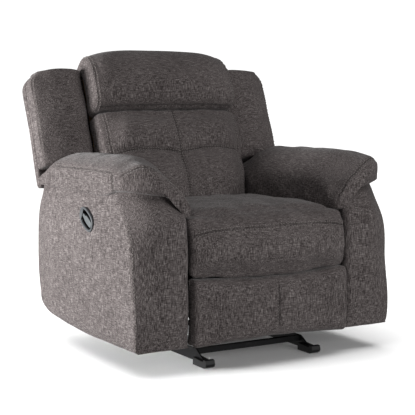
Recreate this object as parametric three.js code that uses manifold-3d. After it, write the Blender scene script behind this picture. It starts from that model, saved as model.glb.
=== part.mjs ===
// Glider recliner armchair: steel glide base, reclining back, fold-out footrest and padded arms.
// Millimetres. +X is the sitter's left, -Y the front, +Z up. The origin is on the floor, under the
// middle of the chair. "u" is the distance forward of the origin, so u = -y.

import * as THREE from 'three';
import { mergeVertices } from 'three/addons/utils/BufferGeometryUtils.js';
import Module from 'manifold-3d';

const wasm = await Module();
wasm.setup();

// ---------------------------------------------------------------- driving dimensions

const width = 1000; // across the arms at their fullest
const depth = 954; // front of the closed footrest to the rear of the upright back
const height = 1025; // floor to the top of the headrest
const seatWidth = 600; // between the arms
const seatHeight = 502; // floor to the crown of the seat cushion
const seatSlab = 100; // thickness of the seat cushion
const armUnderside = 83; // floor to the bottom edge of the arms
const armTop = 547; // floor to the top of the arm box
const armLength = 781; // front face of the arm to its rearmost edge
const armSetback = 42; // closed footrest to the front face of the arm
const armBulge = 16; // how far the outer panel swells
const padRise = 120; // thickness of the arm pad at its crown
const backLean = 20.6; // degrees that the upright back leans
const backPanelRear = 88; // back hinge to the rear of the back, across the lean
const hingeSetback = 325.146; // rearmost edge of the upright back to the back hinge
const hingeHeight = 300; // floor to the back hinge
const panelBoard = 12; // thickness of the arm's boards
const gap = 0.3; // between pieces that touch
const clearance = 0.4; // around pins and in slots
const plate = 4; // thickness of the linkage steel
const plateGap = 3; // between linkage layers

// ---------------------------------------------------------------- derived places

const front = depth / 2;
const halfSeat = seatWidth / 2;
const halfWidth = width / 2;
const armRim = halfWidth - armBulge; // outer face of the arm at its edges
const lean = THREE.MathUtils.degToRad(backLean);

// Linkage layers, counted outwards from the base: each is [inner x, outer x] for the +X side.
const firstLayer = halfSeat - 97;
const layer = (n) => [firstLayer + n * (plate + plateGap), firstLayer + n * (plate + plateGap) + plate];
const [baseLayer, swingLayer, carrierLayer, seatLayer] = [0, 1, 2, 3].map(layer);
const [dLayer, aLayer, bLayer, cLayer, pawlLayer] = [4, 5, 6, 7, 8].map(layer);

// Glide base
const glideLink = 125;
const glidePivotZ = 185;
const glidePivotsU = { front: 160, rear: -140 };
const runnerTop = 30;
const footWidth = 34;
const footSlot = 46; // length of the slot that takes the end of the side plate
const baseFront = 345;
const baseRear = -300;
const pinRadius = 5;

// Carrier, which hangs on the swing links and holds the arms
const railWidth = 25;
const railHeight = 40;
const railBottom = 206;
const railsU = { front: 85, rear: -200 }; // rear face of each rail
const slotZ = 275;
const slotsU = [40, -110];
const slideTravel = 40;

// Seat
const seatUnder = seatHeight - seatSlab;
const seatFront = front - 22; // front of the seat cushion's nose
const noseDepth = 61;
const noseBottom = 311;
const seatRailFront = front - 105; // rear face of the seat's front rail
const seatRailWidth = 20;
const seatRailFrontBottom = 315;
const seatRailRearBottom = 335;
const seatSide = 292; // half the width of the seat cushion at a 600 mm opening
const seatHalf = halfSeat - (300 - seatSide);

// Footrest linkage, closed: angles in degrees, counted from forward towards up
const boardPivotBehind = 60.08; // the carry link's front pin behind the footrest board
const boardPivotZ = 199.98;
const crankLength = 180;
const crankAngle = -127.7;
const carryLength = 165;
const carryAngle = 30;
const followPivotAlong = 50; // along the carry link from the knee to the follow link's pivot
const earLength = 28;
const earAngle = 68.75; // the crank's ear, counted from the crank's own direction
const boardPin = [44.5, -28.1]; // tilt link's pin on the bracket, from the carry link's pin
const tiltSlack = 2.6; // extra room at the open pivot
const boardBack = front - 82;
const boardThick = 16;
const footrestBottom = 83;
const footrestTop = 300;

// Back, measured along its own lean from the hinge: "p" towards the rear, "q" upwards
const panelThick = 36;
const panelFront = backPanelRear - panelThick;
const postFront = 12;
const headTopRadius = 62;
const headRearP = 60;
const wingShare = 0.9115; // of the height above the level where the wings' scale starts
const wingDatum = 268;
const wingTop = wingShare * (height - wingDatum); // q of the top edge of the wings

const hinge = [hingeSetback - depth / 2, hingeHeight];

// ---------------------------------------------------------------- materials

const finish = (color, roughness, metalness = 0) =>
  new THREE.MeshStandardMaterial({ color, roughness, metalness });
const fabric = finish('#6f6867', 0.95);
const timber = finish('#b08a5c', 0.8);
const steel = finish('#17181a', 0.45, 0.8);
const springSteel = finish('#8c8f92', 0.35, 1);
const black = finish('#141414', 0.55);
const bezelGrey = finish('#5f6165', 0.45);
const leverGrey = finish('#85878b', 0.4);

// ---------------------------------------------------------------- shape helpers

// Turns a closed three.js geometry into a solid that can be joined and cut.
function solid(geometry) {
  const bare = geometry.clone();
  bare.deleteAttribute('normal');
  bare.deleteAttribute('uv');
  const merged = mergeVertices(bare, 1e-4);
  const mesh = new wasm.Mesh({
    numProp: 3,
    vertProperties: new Float32Array(merged.attributes.position.array),
    triVerts: new Uint32Array(merged.index.array),
  });
  return new wasm.Manifold(mesh);
}

function toGeometry(body) {
  const mesh = body.getMesh();
  const geometry = new THREE.BufferGeometry();
  geometry.setAttribute('position', new THREE.BufferAttribute(new Float32Array(mesh.vertProperties), 3));
  geometry.setIndex(new THREE.BufferAttribute(new Uint32Array(mesh.triVerts), 1));
  geometry.computeVertexNormals();
  return geometry;
}

const join = (first, ...others) => others.reduce((whole, part) => whole.add(part), first);
const cut = (first, ...tools) => tools.reduce((whole, tool) => whole.subtract(tool), first);

// Shapes lie in the (u, z) plane and are extruded across the chair from x = from to x = to.
function across(shape, from, to, curveSegments = 5) {
  const geometry = new THREE.ExtrudeGeometry(shape, {
    depth: Math.abs(to - from),
    bevelEnabled: false,
    curveSegments,
  });
  const turn = new THREE.Matrix4().makeBasis(
    new THREE.Vector3(0, -1, 0),
    new THREE.Vector3(0, 0, 1),
    new THREE.Vector3(-1, 0, 0),
  );
  geometry.applyMatrix4(turn);
  geometry.translate(Math.max(from, to), 0, 0);
  return solid(geometry);
}

const polygon = (points) => new THREE.Shape(points.map(([u, z]) => new THREE.Vector2(u, z)));

function discShape([u, z], radius) {
  return new THREE.Shape().absarc(u, z, radius, 0, 2 * Math.PI, false);
}

// A bar with round ends between two points.
function barShape([u0, z0], [u1, z1], radius) {
  const angle = Math.atan2(z1 - z0, u1 - u0);
  return new THREE.Shape()
    .absarc(u1, z1, radius, angle - Math.PI / 2, angle + Math.PI / 2, false)
    .absarc(u0, z0, radius, angle + Math.PI / 2, angle + 1.5 * Math.PI, false)
    .closePath();
}

const disc = (at, radius, from, to) => across(discShape(at, radius), from, to, 6);
const bar = (a, b, radius, from, to) => across(barShape(a, b, radius), from, to, 3);
const hole = (at, radius, from, to) => disc(at, radius, Math.min(from, to) - 2, Math.max(from, to) + 2);

// A box between two corners.
function block([x0, y0, z0], [x1, y1, z1]) {
  const geometry = new THREE.BoxGeometry(Math.abs(x1 - x0), Math.abs(y1 - y0), Math.abs(z1 - z0));
  geometry.translate((x0 + x1) / 2, (y0 + y1) / 2, (z0 + z1) / 2);
  return solid(geometry);
}

// A box with segments, whose unit coordinates (each 0 to 1) are carried to a shape by place(a, b, c).
function shaped([na, nb, nc], place) {
  const geometry = new THREE.BoxGeometry(1, 1, 1, na, nb, nc);
  const at = geometry.attributes.position;
  for (let i = 0; i < at.count; i += 1) {
    at.setXYZ(i, ...place(at.getX(i) + 0.5, at.getY(i) + 0.5, at.getZ(i) + 0.5));
  }
  return solid(geometry);
}

// A piece mirrored to the -X side; a mirrored solid keeps its faces pointing out.
const mirrored = (body) => body.mirror([1, 0, 0]);

const mix = (a, b, t) => a + (b - a) * t;
const dome = (t) => 1 - (2 * t - 1) ** 2; // 0 at both ends, 1 in the middle
const sq = (t) => t * t;

// A smooth curve through points [where, value], read at any "where".
function through(points) {
  const slope = (i) => {
    const a = points[Math.max(i - 1, 0)];
    const b = points[Math.min(i + 1, points.length - 1)];
    return (b[1] - a[1]) / (b[0] - a[0]);
  };
  return (w) => {
    let i = points.findIndex((point) => w <= point[0]) - 1;
    if (i === -2) i = points.length - 2;
    i = Math.max(i, 0);
    const [[w0, v0], [w1, v1]] = [points[i], points[i + 1]];
    const span = w1 - w0;
    const t = Math.min(Math.max((w - w0) / span, 0), 1);
    const ease = t * t * (3 - 2 * t);
    return (
      mix(v0, v1, ease) +
      span * (slope(i) * t * sq(1 - t) - slope(i + 1) * sq(t) * (1 - t))
    );
  };
}

const pieces = [];
function piece(name, body, material) {
  const mesh = new THREE.Mesh(toGeometry(body), material);
  mesh.name = name;
  pieces.push(mesh);
  return mesh;
}

// The same piece on both sides, made for +X.
function pair(name, body, material, parent = null) {
  const both = [piece(`${name}_left`, body, material), piece(`${name}_right`, mirrored(body), material)];
  if (parent) parent.add(...both);
  return both;
}

const polar = ([u, z], length, degrees) => {
  const angle = THREE.MathUtils.degToRad(degrees);
  return [u + length * Math.cos(angle), z + length * Math.sin(angle)];
};

// ---------------------------------------------------------------- glide base

const glideTop = Object.fromEntries(
  Object.entries(glidePivotsU).map(([end, u]) => [end, [u, glidePivotZ]]),
);
const glideLow = Object.fromEntries(
  Object.entries(glidePivotsU).map(([end, u]) => [end, [u, glidePivotZ - glideLink]]),
);
const pivotBoss = 13;

function baseSide() {
  const [x0, x1] = baseLayer;
  const top = glidePivotZ + pivotBoss;
  const outline = polygon([
    [baseRear, 8],
    [baseFront, 8],
    [baseFront, 22],
    [baseFront - 45, 48],
    [200, 48],
    [glidePivotsU.front + pivotBoss, top],
    [glidePivotsU.rear - pivotBoss, top],
    [-200, 48],
    [baseRear + 45, 48],
    [baseRear, 22],
  ]);
  const side = across(outline, x0, x1);
  const pins = Object.values(glideTop).map((at) => disc(at, pinRadius, x1 - 1, swingLayer[1] + 1));
  return join(side, ...pins);
}

pair('base_side', baseSide(), steel);

const crossHalf = baseLayer[0] - gap;
const crossWidth = 18;
const crossTubes = { front: baseFront - 57, rear: baseRear + 57 };
for (const [end, u] of Object.entries(crossTubes)) {
  const tube = block([-crossHalf, -u - crossWidth / 2, 28], [crossHalf, -u + crossWidth / 2, 46]);
  piece(`base_cross_tube_${end}`, tube, steel);
}

// A foot: a flat pad under the end of each side, with its tip turned up.
function footCap(tip, into) {
  const reach = Math.sign(tip - into);
  const outline = polygon([
    [into, 0],
    [tip - reach * 14, 0],
    [tip - reach * 3, 6],
    [tip, 14],
    [tip - reach * 3, 26],
    [tip - reach * 14, 28],
    [tip - reach * 22, 20],
    [into, 24],
  ]);
  const middle = (baseLayer[0] + baseLayer[1]) / 2;
  const pad = across(outline, middle - footWidth / 2, middle + footWidth / 2);
  const slot = block(
    [baseLayer[0] - clearance, -into, 8 - clearance],
    [baseLayer[1] + clearance, -into - reach * footSlot, 60],
  );
  return cut(pad, slot);
}

pair('foot_cap_front', footCap(baseFront + 45, baseFront - 40), black);
pair('foot_cap_rear', footCap(baseRear - 30, baseRear + 45), black);

// ---------------------------------------------------------------- swing links

for (const end of ['front', 'rear']) {
  const [x0, x1] = swingLayer;
  const [top, low] = [glideTop[end], glideLow[end]];
  const link = bar(top, low, 12, x0, x1);
  const holes = [top, low].map((at) => hole(at, pinRadius + clearance, x0, x1));
  pair(`swing_link_${end}`, cut(link, ...holes), steel);
}

// ---------------------------------------------------------------- carrier and its rails

function railBlock(u, halfLength, grow = 0) {
  return block(
    [-halfLength, -u + grow, railBottom - grow],
    [halfLength, -u - railWidth - grow, railBottom + railHeight + grow],
  );
}

function carrierPlate() {
  const [x0, x1] = carrierLayer;
  const low = glidePivotZ - glideLink - 15;
  const frontEdge = railsU.front + railWidth + 25;
  const rearEdge = railsU.rear - 15;
  const outline = polygon([
    [rearEdge, 200],
    [glidePivotsU.rear - 20, low],
    [glidePivotsU.front + 20, low],
    [glidePivotsU.front + 30, 75],
    [glidePivotsU.front + 30, 140],
    [frontEdge, 215],
    [frontEdge, slotZ + 17],
    [slotsU[1] - 22, slotZ + 17],
    [rearEdge, railBottom + railHeight + 8],
  ]);
  const windows = Object.values(railsU).map((u) => railBlock(u, halfWidth, clearance));
  const slots = slotsU.map((u) =>
    bar([u, slotZ], [u + slideTravel, slotZ], pinRadius + clearance, x0 - 2, x1 + 2),
  );
  const pins = Object.values(glideLow).map((at) => disc(at, pinRadius, x0 + 1, swingLayer[0] - 1));
  return join(cut(across(outline, x0, x1), ...windows, ...slots), ...pins);
}

pair('carrier_plate', carrierPlate(), steel);
for (const [end, u] of Object.entries(railsU)) {
  piece(`carrier_rail_${end}`, railBlock(u, halfSeat - clearance), timber);
}

// ---------------------------------------------------------------- arms

const armFront = front - armSetback; // u of the front face at its fullest
const armRear = armFront - armLength; // u of the rearmost edge

// u of the seam between the front panel and the outer panel, at each height
const seam = through([
  [armUnderside, armFront - 24],
  [161, armFront - 21],
  [313, armFront - 38],
  [459, armFront - 63],
  [armTop - 30, armFront - 112],
  [armTop, armFront - 154],
]);
// u of the front face
const face = through([
  [armUnderside, armFront - 14],
  [163, armFront],
  [330, armFront - 2],
  [471, armFront - 8],
  [armTop, armFront - 20],
]);
// u of the arm's rear edge, which is cut back at the top to let the back swing
const rearEdge = through([
  [armUnderside, armRear + 320],
  [armUnderside + 11, armRear + 150],
  [armUnderside + 29, armRear + 50],
  [armUnderside + 85, armRear + 12],
  [armUnderside + 180, armRear],
  [349, armRear],
  [490, armRear + 26],
  [armTop - 31, armRear + 45],
  [armTop, armRear + 58],
]);

const panelTop = armTop - gap;
const armRows = 12; // all the arm's boards share these rows, so that their edges meet
const rowZ = (c) => mix(armUnderside, panelTop, c);
const panelInner = armRim - panelBoard + 2;
const handleAt = [101, 464];
const handleTilt = -27; // degrees, nose down
const cupHalf = [51, 32];
const cupInner = [43, 25];
const cupDepth = 32;
const cupFace = halfWidth - 2;

function handleOval([a, b], from, to) {
  const tilt = THREE.MathUtils.degToRad(handleTilt);
  const shape = new THREE.Shape().absellipse(handleAt[0], handleAt[1], a, b, 0, 2 * Math.PI, false, tilt);
  return across(shape, from, to, 12);
}

function armOuterPanel() {
  const side = shaped([1, 8, armRows], (a, b, c) => {
    const z = rowZ(c);
    const u = mix(rearEdge(z), seam(z), 1 - b);
    const swell = armBulge * dome(b) * dome(c);
    return [a < 0.5 ? panelInner : armRim + swell, -u, z];
  });
  const back = shaped([1, 1, armRows - 1], (a, b, c) => {
    const z = rowZ(mix(1 / armRows, 1, c));
    const u = rearEdge(z) + (1 - b) * panelBoard;
    return [mix(halfSeat, armRim - 2, a), -u, z];
  });
  return join(side, back);
}

function armFrontPanel() {
  return shaped([1, 1, armRows], (a, b, c) => {
    const z = rowZ(c);
    const u = b < 0.5 ? face(z) : seam(z) + gap;
    return [mix(halfSeat, armRim, a), -u, z];
  });
}

// The inner panel stops short of the front and rear panels.
function armInnerPanel() {
  return shaped([1, 1, armRows], (a, b, c) => {
    const z = rowZ(c);
    const u = mix(seam(z) - gap, rearEdge(z) + panelBoard + gap, b);
    return [mix(halfSeat, halfSeat + panelBoard, a), -u, z];
  });
}

// The pad: a section across the arm, carried from the nose to the rear. It laps over the inner side.
function armPad() {
  const outer = armRim + 6;
  const inner = halfSeat - clearance;
  const section = [
    [outer - 2, armTop],
    [outer + 3, armTop + 33],
    [outer, armTop + 65],
    [outer - 24, armTop + 101],
    [outer - 62, armTop + padRise],
    [outer - 105, armTop + padRise],
    [halfSeat + 35, armTop + 98],
    [halfSeat - 2, armTop + 60],
    [halfSeat - 21, armTop + 13],
    [halfSeat - 26, armTop - 27],
    [halfSeat - 20, armTop - 47],
    [inner, armTop - 47],
    [inner, armTop],
  ];
  const padFront = armFront - 52;
  const padRear = armRear + 54;
  // Share of the pad's height at each u: it drops away under the wing of the back.
  const tailOf = through([
    [padRear, 0.33],
    [padRear + 17, 0.43],
    [padRear + 42, 0.57],
    [padRear + 67, 0.72],
    [padRear + 130, 1],
    [padFront, 1],
  ]);
  const shape = new THREE.Shape(section.map(([x, z]) => new THREE.Vector2(x, z)));
  const geometry = new THREE.ExtrudeGeometry(shape, { depth: 1, steps: 14, bevelEnabled: false });
  const at = geometry.attributes.position;
  const middle = (outer + inner) / 2;
  for (let i = 0; i < at.count; i += 1) {
    const t = 1 - at.getZ(i); // 0 at the nose, 1 at the rear
    const u = mix(padFront, padRear, t);
    const nose = Math.sqrt(1 - sq(Math.max(0, 1 - t / 0.14) * 0.62));
    const tail = tailOf(u);
    const above = at.getY(i) > armTop;
    const z = above ? armTop + (at.getY(i) - armTop) * nose * tail : at.getY(i);
    const x = above ? middle + (at.getX(i) - middle) * mix(1, nose, 0.25) : at.getX(i);
    at.setXYZ(i, x, -u, z);
  }
  return solid(geometry);
}

// ---- arm pieces; the handle sits in the sitter's right arm, on the -X side
const outerPanel = armOuterPanel();
const cupHole = handleOval(cupHalf.map((half) => half + clearance), panelInner - 20, halfWidth + 20);
piece('arm_outer_panel_left', outerPanel, fabric);
piece('arm_outer_panel_right', mirrored(cut(outerPanel, cupHole)), fabric);
pair('arm_front_panel', armFrontPanel(), fabric);
const cableHole = [129, 185];
const innerPanel = armInnerPanel();
const cableRadius = 2.5;
piece('arm_inner_panel_left', innerPanel, fabric);
piece(
  'arm_inner_panel_right',
  mirrored(cut(innerPanel, hole(cableHole, cableRadius + 6, halfSeat, halfSeat + panelBoard))),
  fabric,
);
pair('arm_pad', armPad(), fabric);

// ---------------------------------------------------------------- release handle

const leverPinAt = 26; // along the oval from its centre to the lever's pin
const leverPinHalf = 24;
const leverHalf = 11; // half the height of the paddle
const cupRear = cupFace - cupDepth;
const leverOuter = cupFace - 1;

// Points given along and across the oval, turned to the handle's tilt. Along is towards the rear.
function onHandle(along, acrossIt) {
  const tilt = THREE.MathUtils.degToRad(handleTilt);
  return [
    handleAt[0] - along * Math.cos(tilt) - acrossIt * Math.sin(tilt),
    handleAt[1] - along * Math.sin(tilt) + acrossIt * Math.cos(tilt),
  ];
}

// A round pin that lies across the oval.
function leverPin(radius, halfLength) {
  const geometry = new THREE.CylinderGeometry(radius, radius, 2 * halfLength, 10);
  const [u, z] = onHandle(leverPinAt, 0);
  const tilt = THREE.MathUtils.degToRad(handleTilt);
  geometry.rotateX(Math.PI / 2 - tilt);
  geometry.translate(leverOuter - 7, -u, z);
  return solid(geometry);
}

function handleBezel() {
  const cup = handleOval(cupHalf, cupRear, cupFace);
  const dish = handleOval(cupInner, cupRear + 3, cupFace + 2);
  return cut(cup, dish, leverPin(2.5 + clearance, leverPinHalf + 2 * clearance));
}

function handleLever() {
  const [rearEnd, tip] = [onHandle(leverPinAt, -1), onHandle(-27, -3)];
  const paddle = bar(rearEnd, tip, leverHalf, leverOuter - 10, leverOuter);
  return join(paddle, leverPin(2.5, leverPinHalf));
}

piece('handle_bezel', mirrored(handleBezel()), bezelGrey);
piece('handle_lever', mirrored(handleLever()), leverGrey);

// The pawl turns on a lug of the right seat plate. Its tooth stands in front of the pin that joins
// the follow link to the carry link, one layer further out, and holds the footrest shut.
const pawlPivot = [railsU.front + railWidth + 40, 130];
const boardPivot = [boardBack - boardPivotBehind, boardPivotZ];
const knee = polar(boardPivot, -carryLength, carryAngle);
const crankPivot = polar(knee, -crankLength, crankAngle);
const ear = polar(knee, earLength, crankAngle + earAngle);
const followEnd = polar(knee, followPivotAlong, carryAngle);

function latchPawl() {
  const [x0, x1] = pawlLayer;
  const heel = [followEnd[0] - 35, followEnd[1] - 24];
  const toe = [followEnd[0] + 15, followEnd[1] - 30];
  const hook = [followEnd[0] + 21, followEnd[1] - 14];
  const arms = join(
    bar(pawlPivot, heel, 9, x0, x1),
    bar(heel, toe, 8, x0, x1),
    bar(toe, hook, 6, x0, x1),
  );
  return cut(arms, hole(pawlPivot, pinRadius + clearance, x0, x1));
}

piece('latch_pawl', mirrored(latchPawl()), steel);

// The release cable runs from the cup, down inside the arm and through its inner panel to the pawl.
function releaseCable() {
  const [u, z] = onHandle(10, 0);
  const points = [
    [-(cupRear - 1.2), -u, z],
    [-(cupRear - 22), -u - 2, z - 6],
    [-(cupRear - 55), -u - 8, z - 60],
    [-(halfSeat + 75), -cableHole[0] - 2, cableHole[1] + 115],
    [-(halfSeat + 45), -cableHole[0], cableHole[1] + 30],
    [-(halfSeat + 6), -cableHole[0], cableHole[1]],
    [-(halfSeat - 20), -cableHole[0] - 2, cableHole[1] - 12],
    [-(pawlLayer[1] + 5), -pawlPivot[0] + 4, pawlPivot[1] + 26],
  ];
  const path = new THREE.CatmullRomCurve3(points.map((p) => new THREE.Vector3(...p)));
  const section = new THREE.Shape().absarc(0, 0, cableRadius, 0, 2 * Math.PI, false);
  const geometry = new THREE.ExtrudeGeometry(section, { extrudePath: path, steps: 44, curveSegments: 4 });
  return solid(geometry);
}

piece('release_cable', releaseCable(), black);

// A board closes the rear of the chair between the arms, under the back.
const skirtFront = -hinge[0] + 114;
const skirtTop = hinge[1] - 6; // low enough for the outside back to pass over it
piece(
  'rear_skirt',
  block(
    [-(halfSeat - clearance), skirtFront, armUnderside + 7],
    [halfSeat - clearance, skirtFront + 14, skirtTop],
  ),
  fabric,
);

// ---------------------------------------------------------------- seat

const seatPlateTop = [seatRailFrontBottom - gap, seatRailRearBottom - gap];
const seatRailRear = hinge[0] + 40; // rear face of the rear rail
const followPivot = polar(crankPivot, followPivotAlong, carryAngle);
const tubeRadius = 9;

function seatPlate() {
  const [x0, x1] = seatLayer;
  const [hu, hz] = hinge;
  const outline = polygon([
    [hu - 18, hz - 25],
    [hu, hz - 40],
    [pawlPivot[0] - 24, 258],
    [pawlPivot[0] - 11, pawlPivot[1] - 11],
    [pawlPivot[0] + 11, pawlPivot[1] - 11],
    [pawlPivot[0] + 24, 258],
    [240, 250],
    [crankPivot[0] - 12, crankPivot[1] - 24],
    [crankPivot[0] + 26, crankPivot[1] - 20],
    [followPivot[0] + 20, followPivot[1] - 23],
    [seatRailFront + 16, followPivot[1] - 10],
    [seatRailFront + 16, seatPlateTop[0]],
    [seatRailRear + 60, seatPlateTop[0]],
    [seatRailRear + 30, seatPlateTop[1]],
    [hu - 8, seatPlateTop[1]],
    [hu - 18, hz + 20],
  ]);
  const body = cut(across(outline, x0, x1), hole(crankPivot, tubeRadius + clearance, x0, x1));
  const slidePins = slotsU.map((u) => disc([u, slotZ], pinRadius, x0 + 1, carrierLayer[0] - 1));
  return join(
    body,
    ...slidePins,
    disc(hinge, 8, x1 - 1, dLayer[1] + 1),
    disc(followPivot, 6, x1 - 1, cLayer[1] + 1),
  );
}

const rightSeatPlate = join(seatPlate(), disc(pawlPivot, pinRadius, seatLayer[1] - 1, pawlLayer[1] + 1));
piece('seat_plate_left', seatPlate(), steel);
piece('seat_plate_right', mirrored(rightSeatPlate), steel);

const seatRails = {
  front: [seatRailFront, seatRailFrontBottom, seatUnder - gap],
  rear: [seatRailRear, seatRailRearBottom, seatUnder - 8],
};
for (const [end, [u, low, high]] of Object.entries(seatRails)) {
  piece(
    `seat_rail_${end}`,
    block([-(halfSeat - 10), -u, low], [halfSeat - 10, -u - seatRailWidth, high]),
    timber,
  );
}

// A zigzag spring wire from the front rail to above the rear rail.
function seatSpring(x) {
  const wire = 2.2;
  const z = seatUnder - 4.5;
  const [start, end] = [seatRailRear + 8, seatRailFront - wire - gap];
  const turns = 8;
  const points = [];
  for (let i = 0; i <= turns; i += 1) {
    const u = mix(start, end, i / turns);
    const sway = i === 0 || i === turns ? 0 : 34 * (i % 2 ? 1 : -1);
    points.push(new THREE.Vector3(x + sway, -u, z));
  }
  const path = new THREE.CatmullRomCurve3(points, false, 'catmullrom', 0.6);
  const section = new THREE.Shape().absarc(0, 0, wire, 0, 2 * Math.PI, false);
  return solid(new THREE.ExtrudeGeometry(section, { extrudePath: path, steps: 44, curveSegments: 3 }));
}

for (const [side, x] of Object.entries({ left: halfSeat / 2.4, right: -halfSeat / 2.4 })) {
  piece(`seat_spring_${side}`, seatSpring(x), springSteel);
}

// The seat cushion: a slab with a rolled nose that hangs down in front of the rail.
function seatCushion() {
  const rearEnd = hinge[0] + 72;
  const noseRear = seatFront - noseDepth;
  const section = [
    [rearEnd, seatUnder],
    [noseRear, seatUnder],
    [noseRear, noseBottom + 20],
    [noseRear + 14, noseBottom],
    [seatFront - 22, noseBottom],
    [seatFront - 5, noseBottom + 20],
    [seatFront, noseBottom + 68],
    [seatFront - 3, seatHeight - 70],
    [seatFront - 16, seatHeight - 26],
    [seatFront - 52, seatHeight - 5],
    [seatFront - 200, seatHeight],
    [mix(rearEnd, seatFront, 0.25), seatHeight - 2],
    [rearEnd, seatHeight - 12],
  ];
  const shape = polygon(section);
  const steps = 8;
  const geometry = new THREE.ExtrudeGeometry(shape, { depth: 1, steps, bevelEnabled: false });
  const at = geometry.attributes.position;
  for (let i = 0; i < at.count; i += 1) {
    const [u, z, t] = [at.getX(i), at.getY(i), at.getZ(i)];
    const side = sq(2 * t - 1); // 1 at both sides, 0 in the middle
    const top = z > seatUnder + 1 ? 1 : 0;
    const nose = u > noseRear + 15 ? 1 : 0;
    const drop = top * 32 * sq(side) * ((z - seatUnder) / seatSlab);
    at.setXYZ(i, mix(seatHalf, -seatHalf, t), -(u - nose * 24 * side), z - drop);
  }
  return solid(geometry);
}

piece('seat_cushion', seatCushion(), fabric);

// ---------------------------------------------------------------- back

// The back is modelled upright around its hinge, in (p, q), and then leans as one group.
const back = new THREE.Group();
back.position.set(0, -hinge[0], hinge[1]);
back.rotation.x = -lean;
const backPieces = (...list) => back.add(...list);

// Shapes in the back's own frame: x across, p rearwards (y), q upwards (z).
function backBar(x0, x1, p0, p1, q0, q1) {
  return block([x0, p0, q0], [x1, p1, q1]);
}

const bracketTop = 190;
const postX = [dLayer[1] + clearance, dLayer[1] + clearance + 26];
const postTop = wingTop - 14;
const postRear = panelFront - gap;
const boardFront = postFront - gap;

function hingeBracket() {
  const [x0, x1] = dLayer;
  const middle = (postFront + postRear) / 2;
  const body = join(
    bar([0, 0], [-middle, 75], 16, x0, x1),
    bar([-middle, 75], [-middle, bracketTop], 16, x0, x1),
  );
  return cut(body, hole([0, 0], 8 + clearance, x0, x1));
}

backPieces(...pair('back_hinge_bracket', hingeBracket(), steel));
backPieces(...pair('back_post', backBar(postX[0], postX[1], postFront, postRear, 60, postTop), timber));
const backRails = { bottom: [100, 150], top: [postTop - 45, postTop - 5] };
for (const [end, [q0, q1]] of Object.entries(backRails)) {
  const half = postX[0] - gap;
  const bottomClear = dLayer[0] - 2;
  const reach = end === 'bottom' ? bottomClear : half;
  backPieces(piece(`back_rail_${end}`, backBar(-reach, reach, postFront, postRear, q0, q1), timber));
}

// p of the lumbar cushion's front at each q: three soft swells with valleys between
const lumbarTop = wingTop - 188;
const lumbarFront = through([
  [85, -88],
  [150, -116],
  [193, -123],
  [261, -131],
  [303, -116],
  [342, -96],
  [lumbarTop - 80, -117],
  [lumbarTop - 30, -95],
  [lumbarTop, -62],
]);

function lumbarCushion() {
  return shaped([8, 1, 14], (a, b, c) => {
    const q = mix(85, lumbarTop, c);
    const half = mix(halfSeat - 55, halfSeat - 11, Math.min(1, Math.max(0, (q - 130) / 250)));
    const side = (2 * a - 1) ** 4;
    const p = b < 0.5 ? mix(lumbarFront(q), -18, side * 0.75) : boardFront;
    return [mix(-half, half, a), p, q];
  });
}

backPieces(piece('lumbar_cushion', lumbarCushion(), fabric));

// Height of the headrest's top follows from the overall height: its top corner is an arc.
const headTopP = -20;
const headTopQ = (height - hinge[1] - headTopRadius + headTopP * Math.sin(lean)) / Math.cos(lean);
const headBottom = lumbarTop + 5;

function headrestCushion() {
  const front0 = headTopP - headTopRadius;
  const frontOf = through([
    [headBottom, front0 + 22],
    [headBottom + 35, front0 - 14],
    [mix(headBottom, headTopQ, 0.5), front0 - 34],
    [headTopQ - 20, front0 - 12],
    [headTopQ, front0],
  ]);
  const outline = [[boardFront, headBottom], [boardFront, postTop + 8], [headRearP, postTop + 18]];
  outline.push([headRearP, headTopQ + headTopRadius * 0.45]);
  const roundness = 6;
  for (let i = 0; i <= roundness; i += 1) {
    const angle = mix(70, 180, i / roundness) * (Math.PI / 180);
    outline.push([
      headTopP + headTopRadius * Math.cos(angle),
      headTopQ + headTopRadius * Math.sin(angle),
    ]);
  }
  for (const q of [0.75, 0.5, 0.25, 0]) {
    const at = mix(headBottom, headTopQ, q);
    outline.push([frontOf(at), at]);
  }
  const shape = new THREE.Shape(outline.map(([p, q]) => new THREE.Vector2(p, q)));
  const geometry = new THREE.ExtrudeGeometry(shape, { depth: 1, steps: 8, bevelEnabled: false });
  const at = geometry.attributes.position;
  const half = halfSeat - 10;
  for (let i = 0; i < at.count; i += 1) {
    const [p, q, t] = [at.getX(i), at.getY(i), at.getZ(i)];
    const side = (2 * t - 1) ** 4;
    const pinch = p < boardFront - 1 ? 1 : 0;
    const drop = q > headTopQ ? side * 18 : 0;
    at.setXYZ(i, mix(half, -half, 1 - t), mix(p, p + 26, side * pinch * 0.8), q - drop);
  }
  return solid(geometry);
}

backPieces(piece('headrest_cushion', headrestCushion(), fabric));

// A wing at each side, above the arm. Its bottom edge keeps one distance from the hinge.
const wingBottom = 338;
const wingOuter = armRim + 6;

function backWing() {
  const corner = 60;
  return shaped([4, 1, 8], (a, b, c) => {
    const q = mix(wingBottom, wingTop, c);
    const inner = mix(halfSeat, halfSeat + 22, c);
    const over = Math.max(0, q - (wingTop - corner));
    const outer = wingOuter - corner + Math.sqrt(corner * corner - over * over);
    const frontP = -4 - 22 * dome(a * 0.9 + 0.05) * Math.sqrt(dome(c * 0.94 + 0.03));
    return [mix(inner, outer, a), b < 0.5 ? frontP : postRear, q];
  });
}

backPieces(...pair('back_wing', backWing(), fabric));

// The outside back: wide above the arms, narrow between them.
const panelSideBottom = 275;
const panelBottom = 64;

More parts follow.
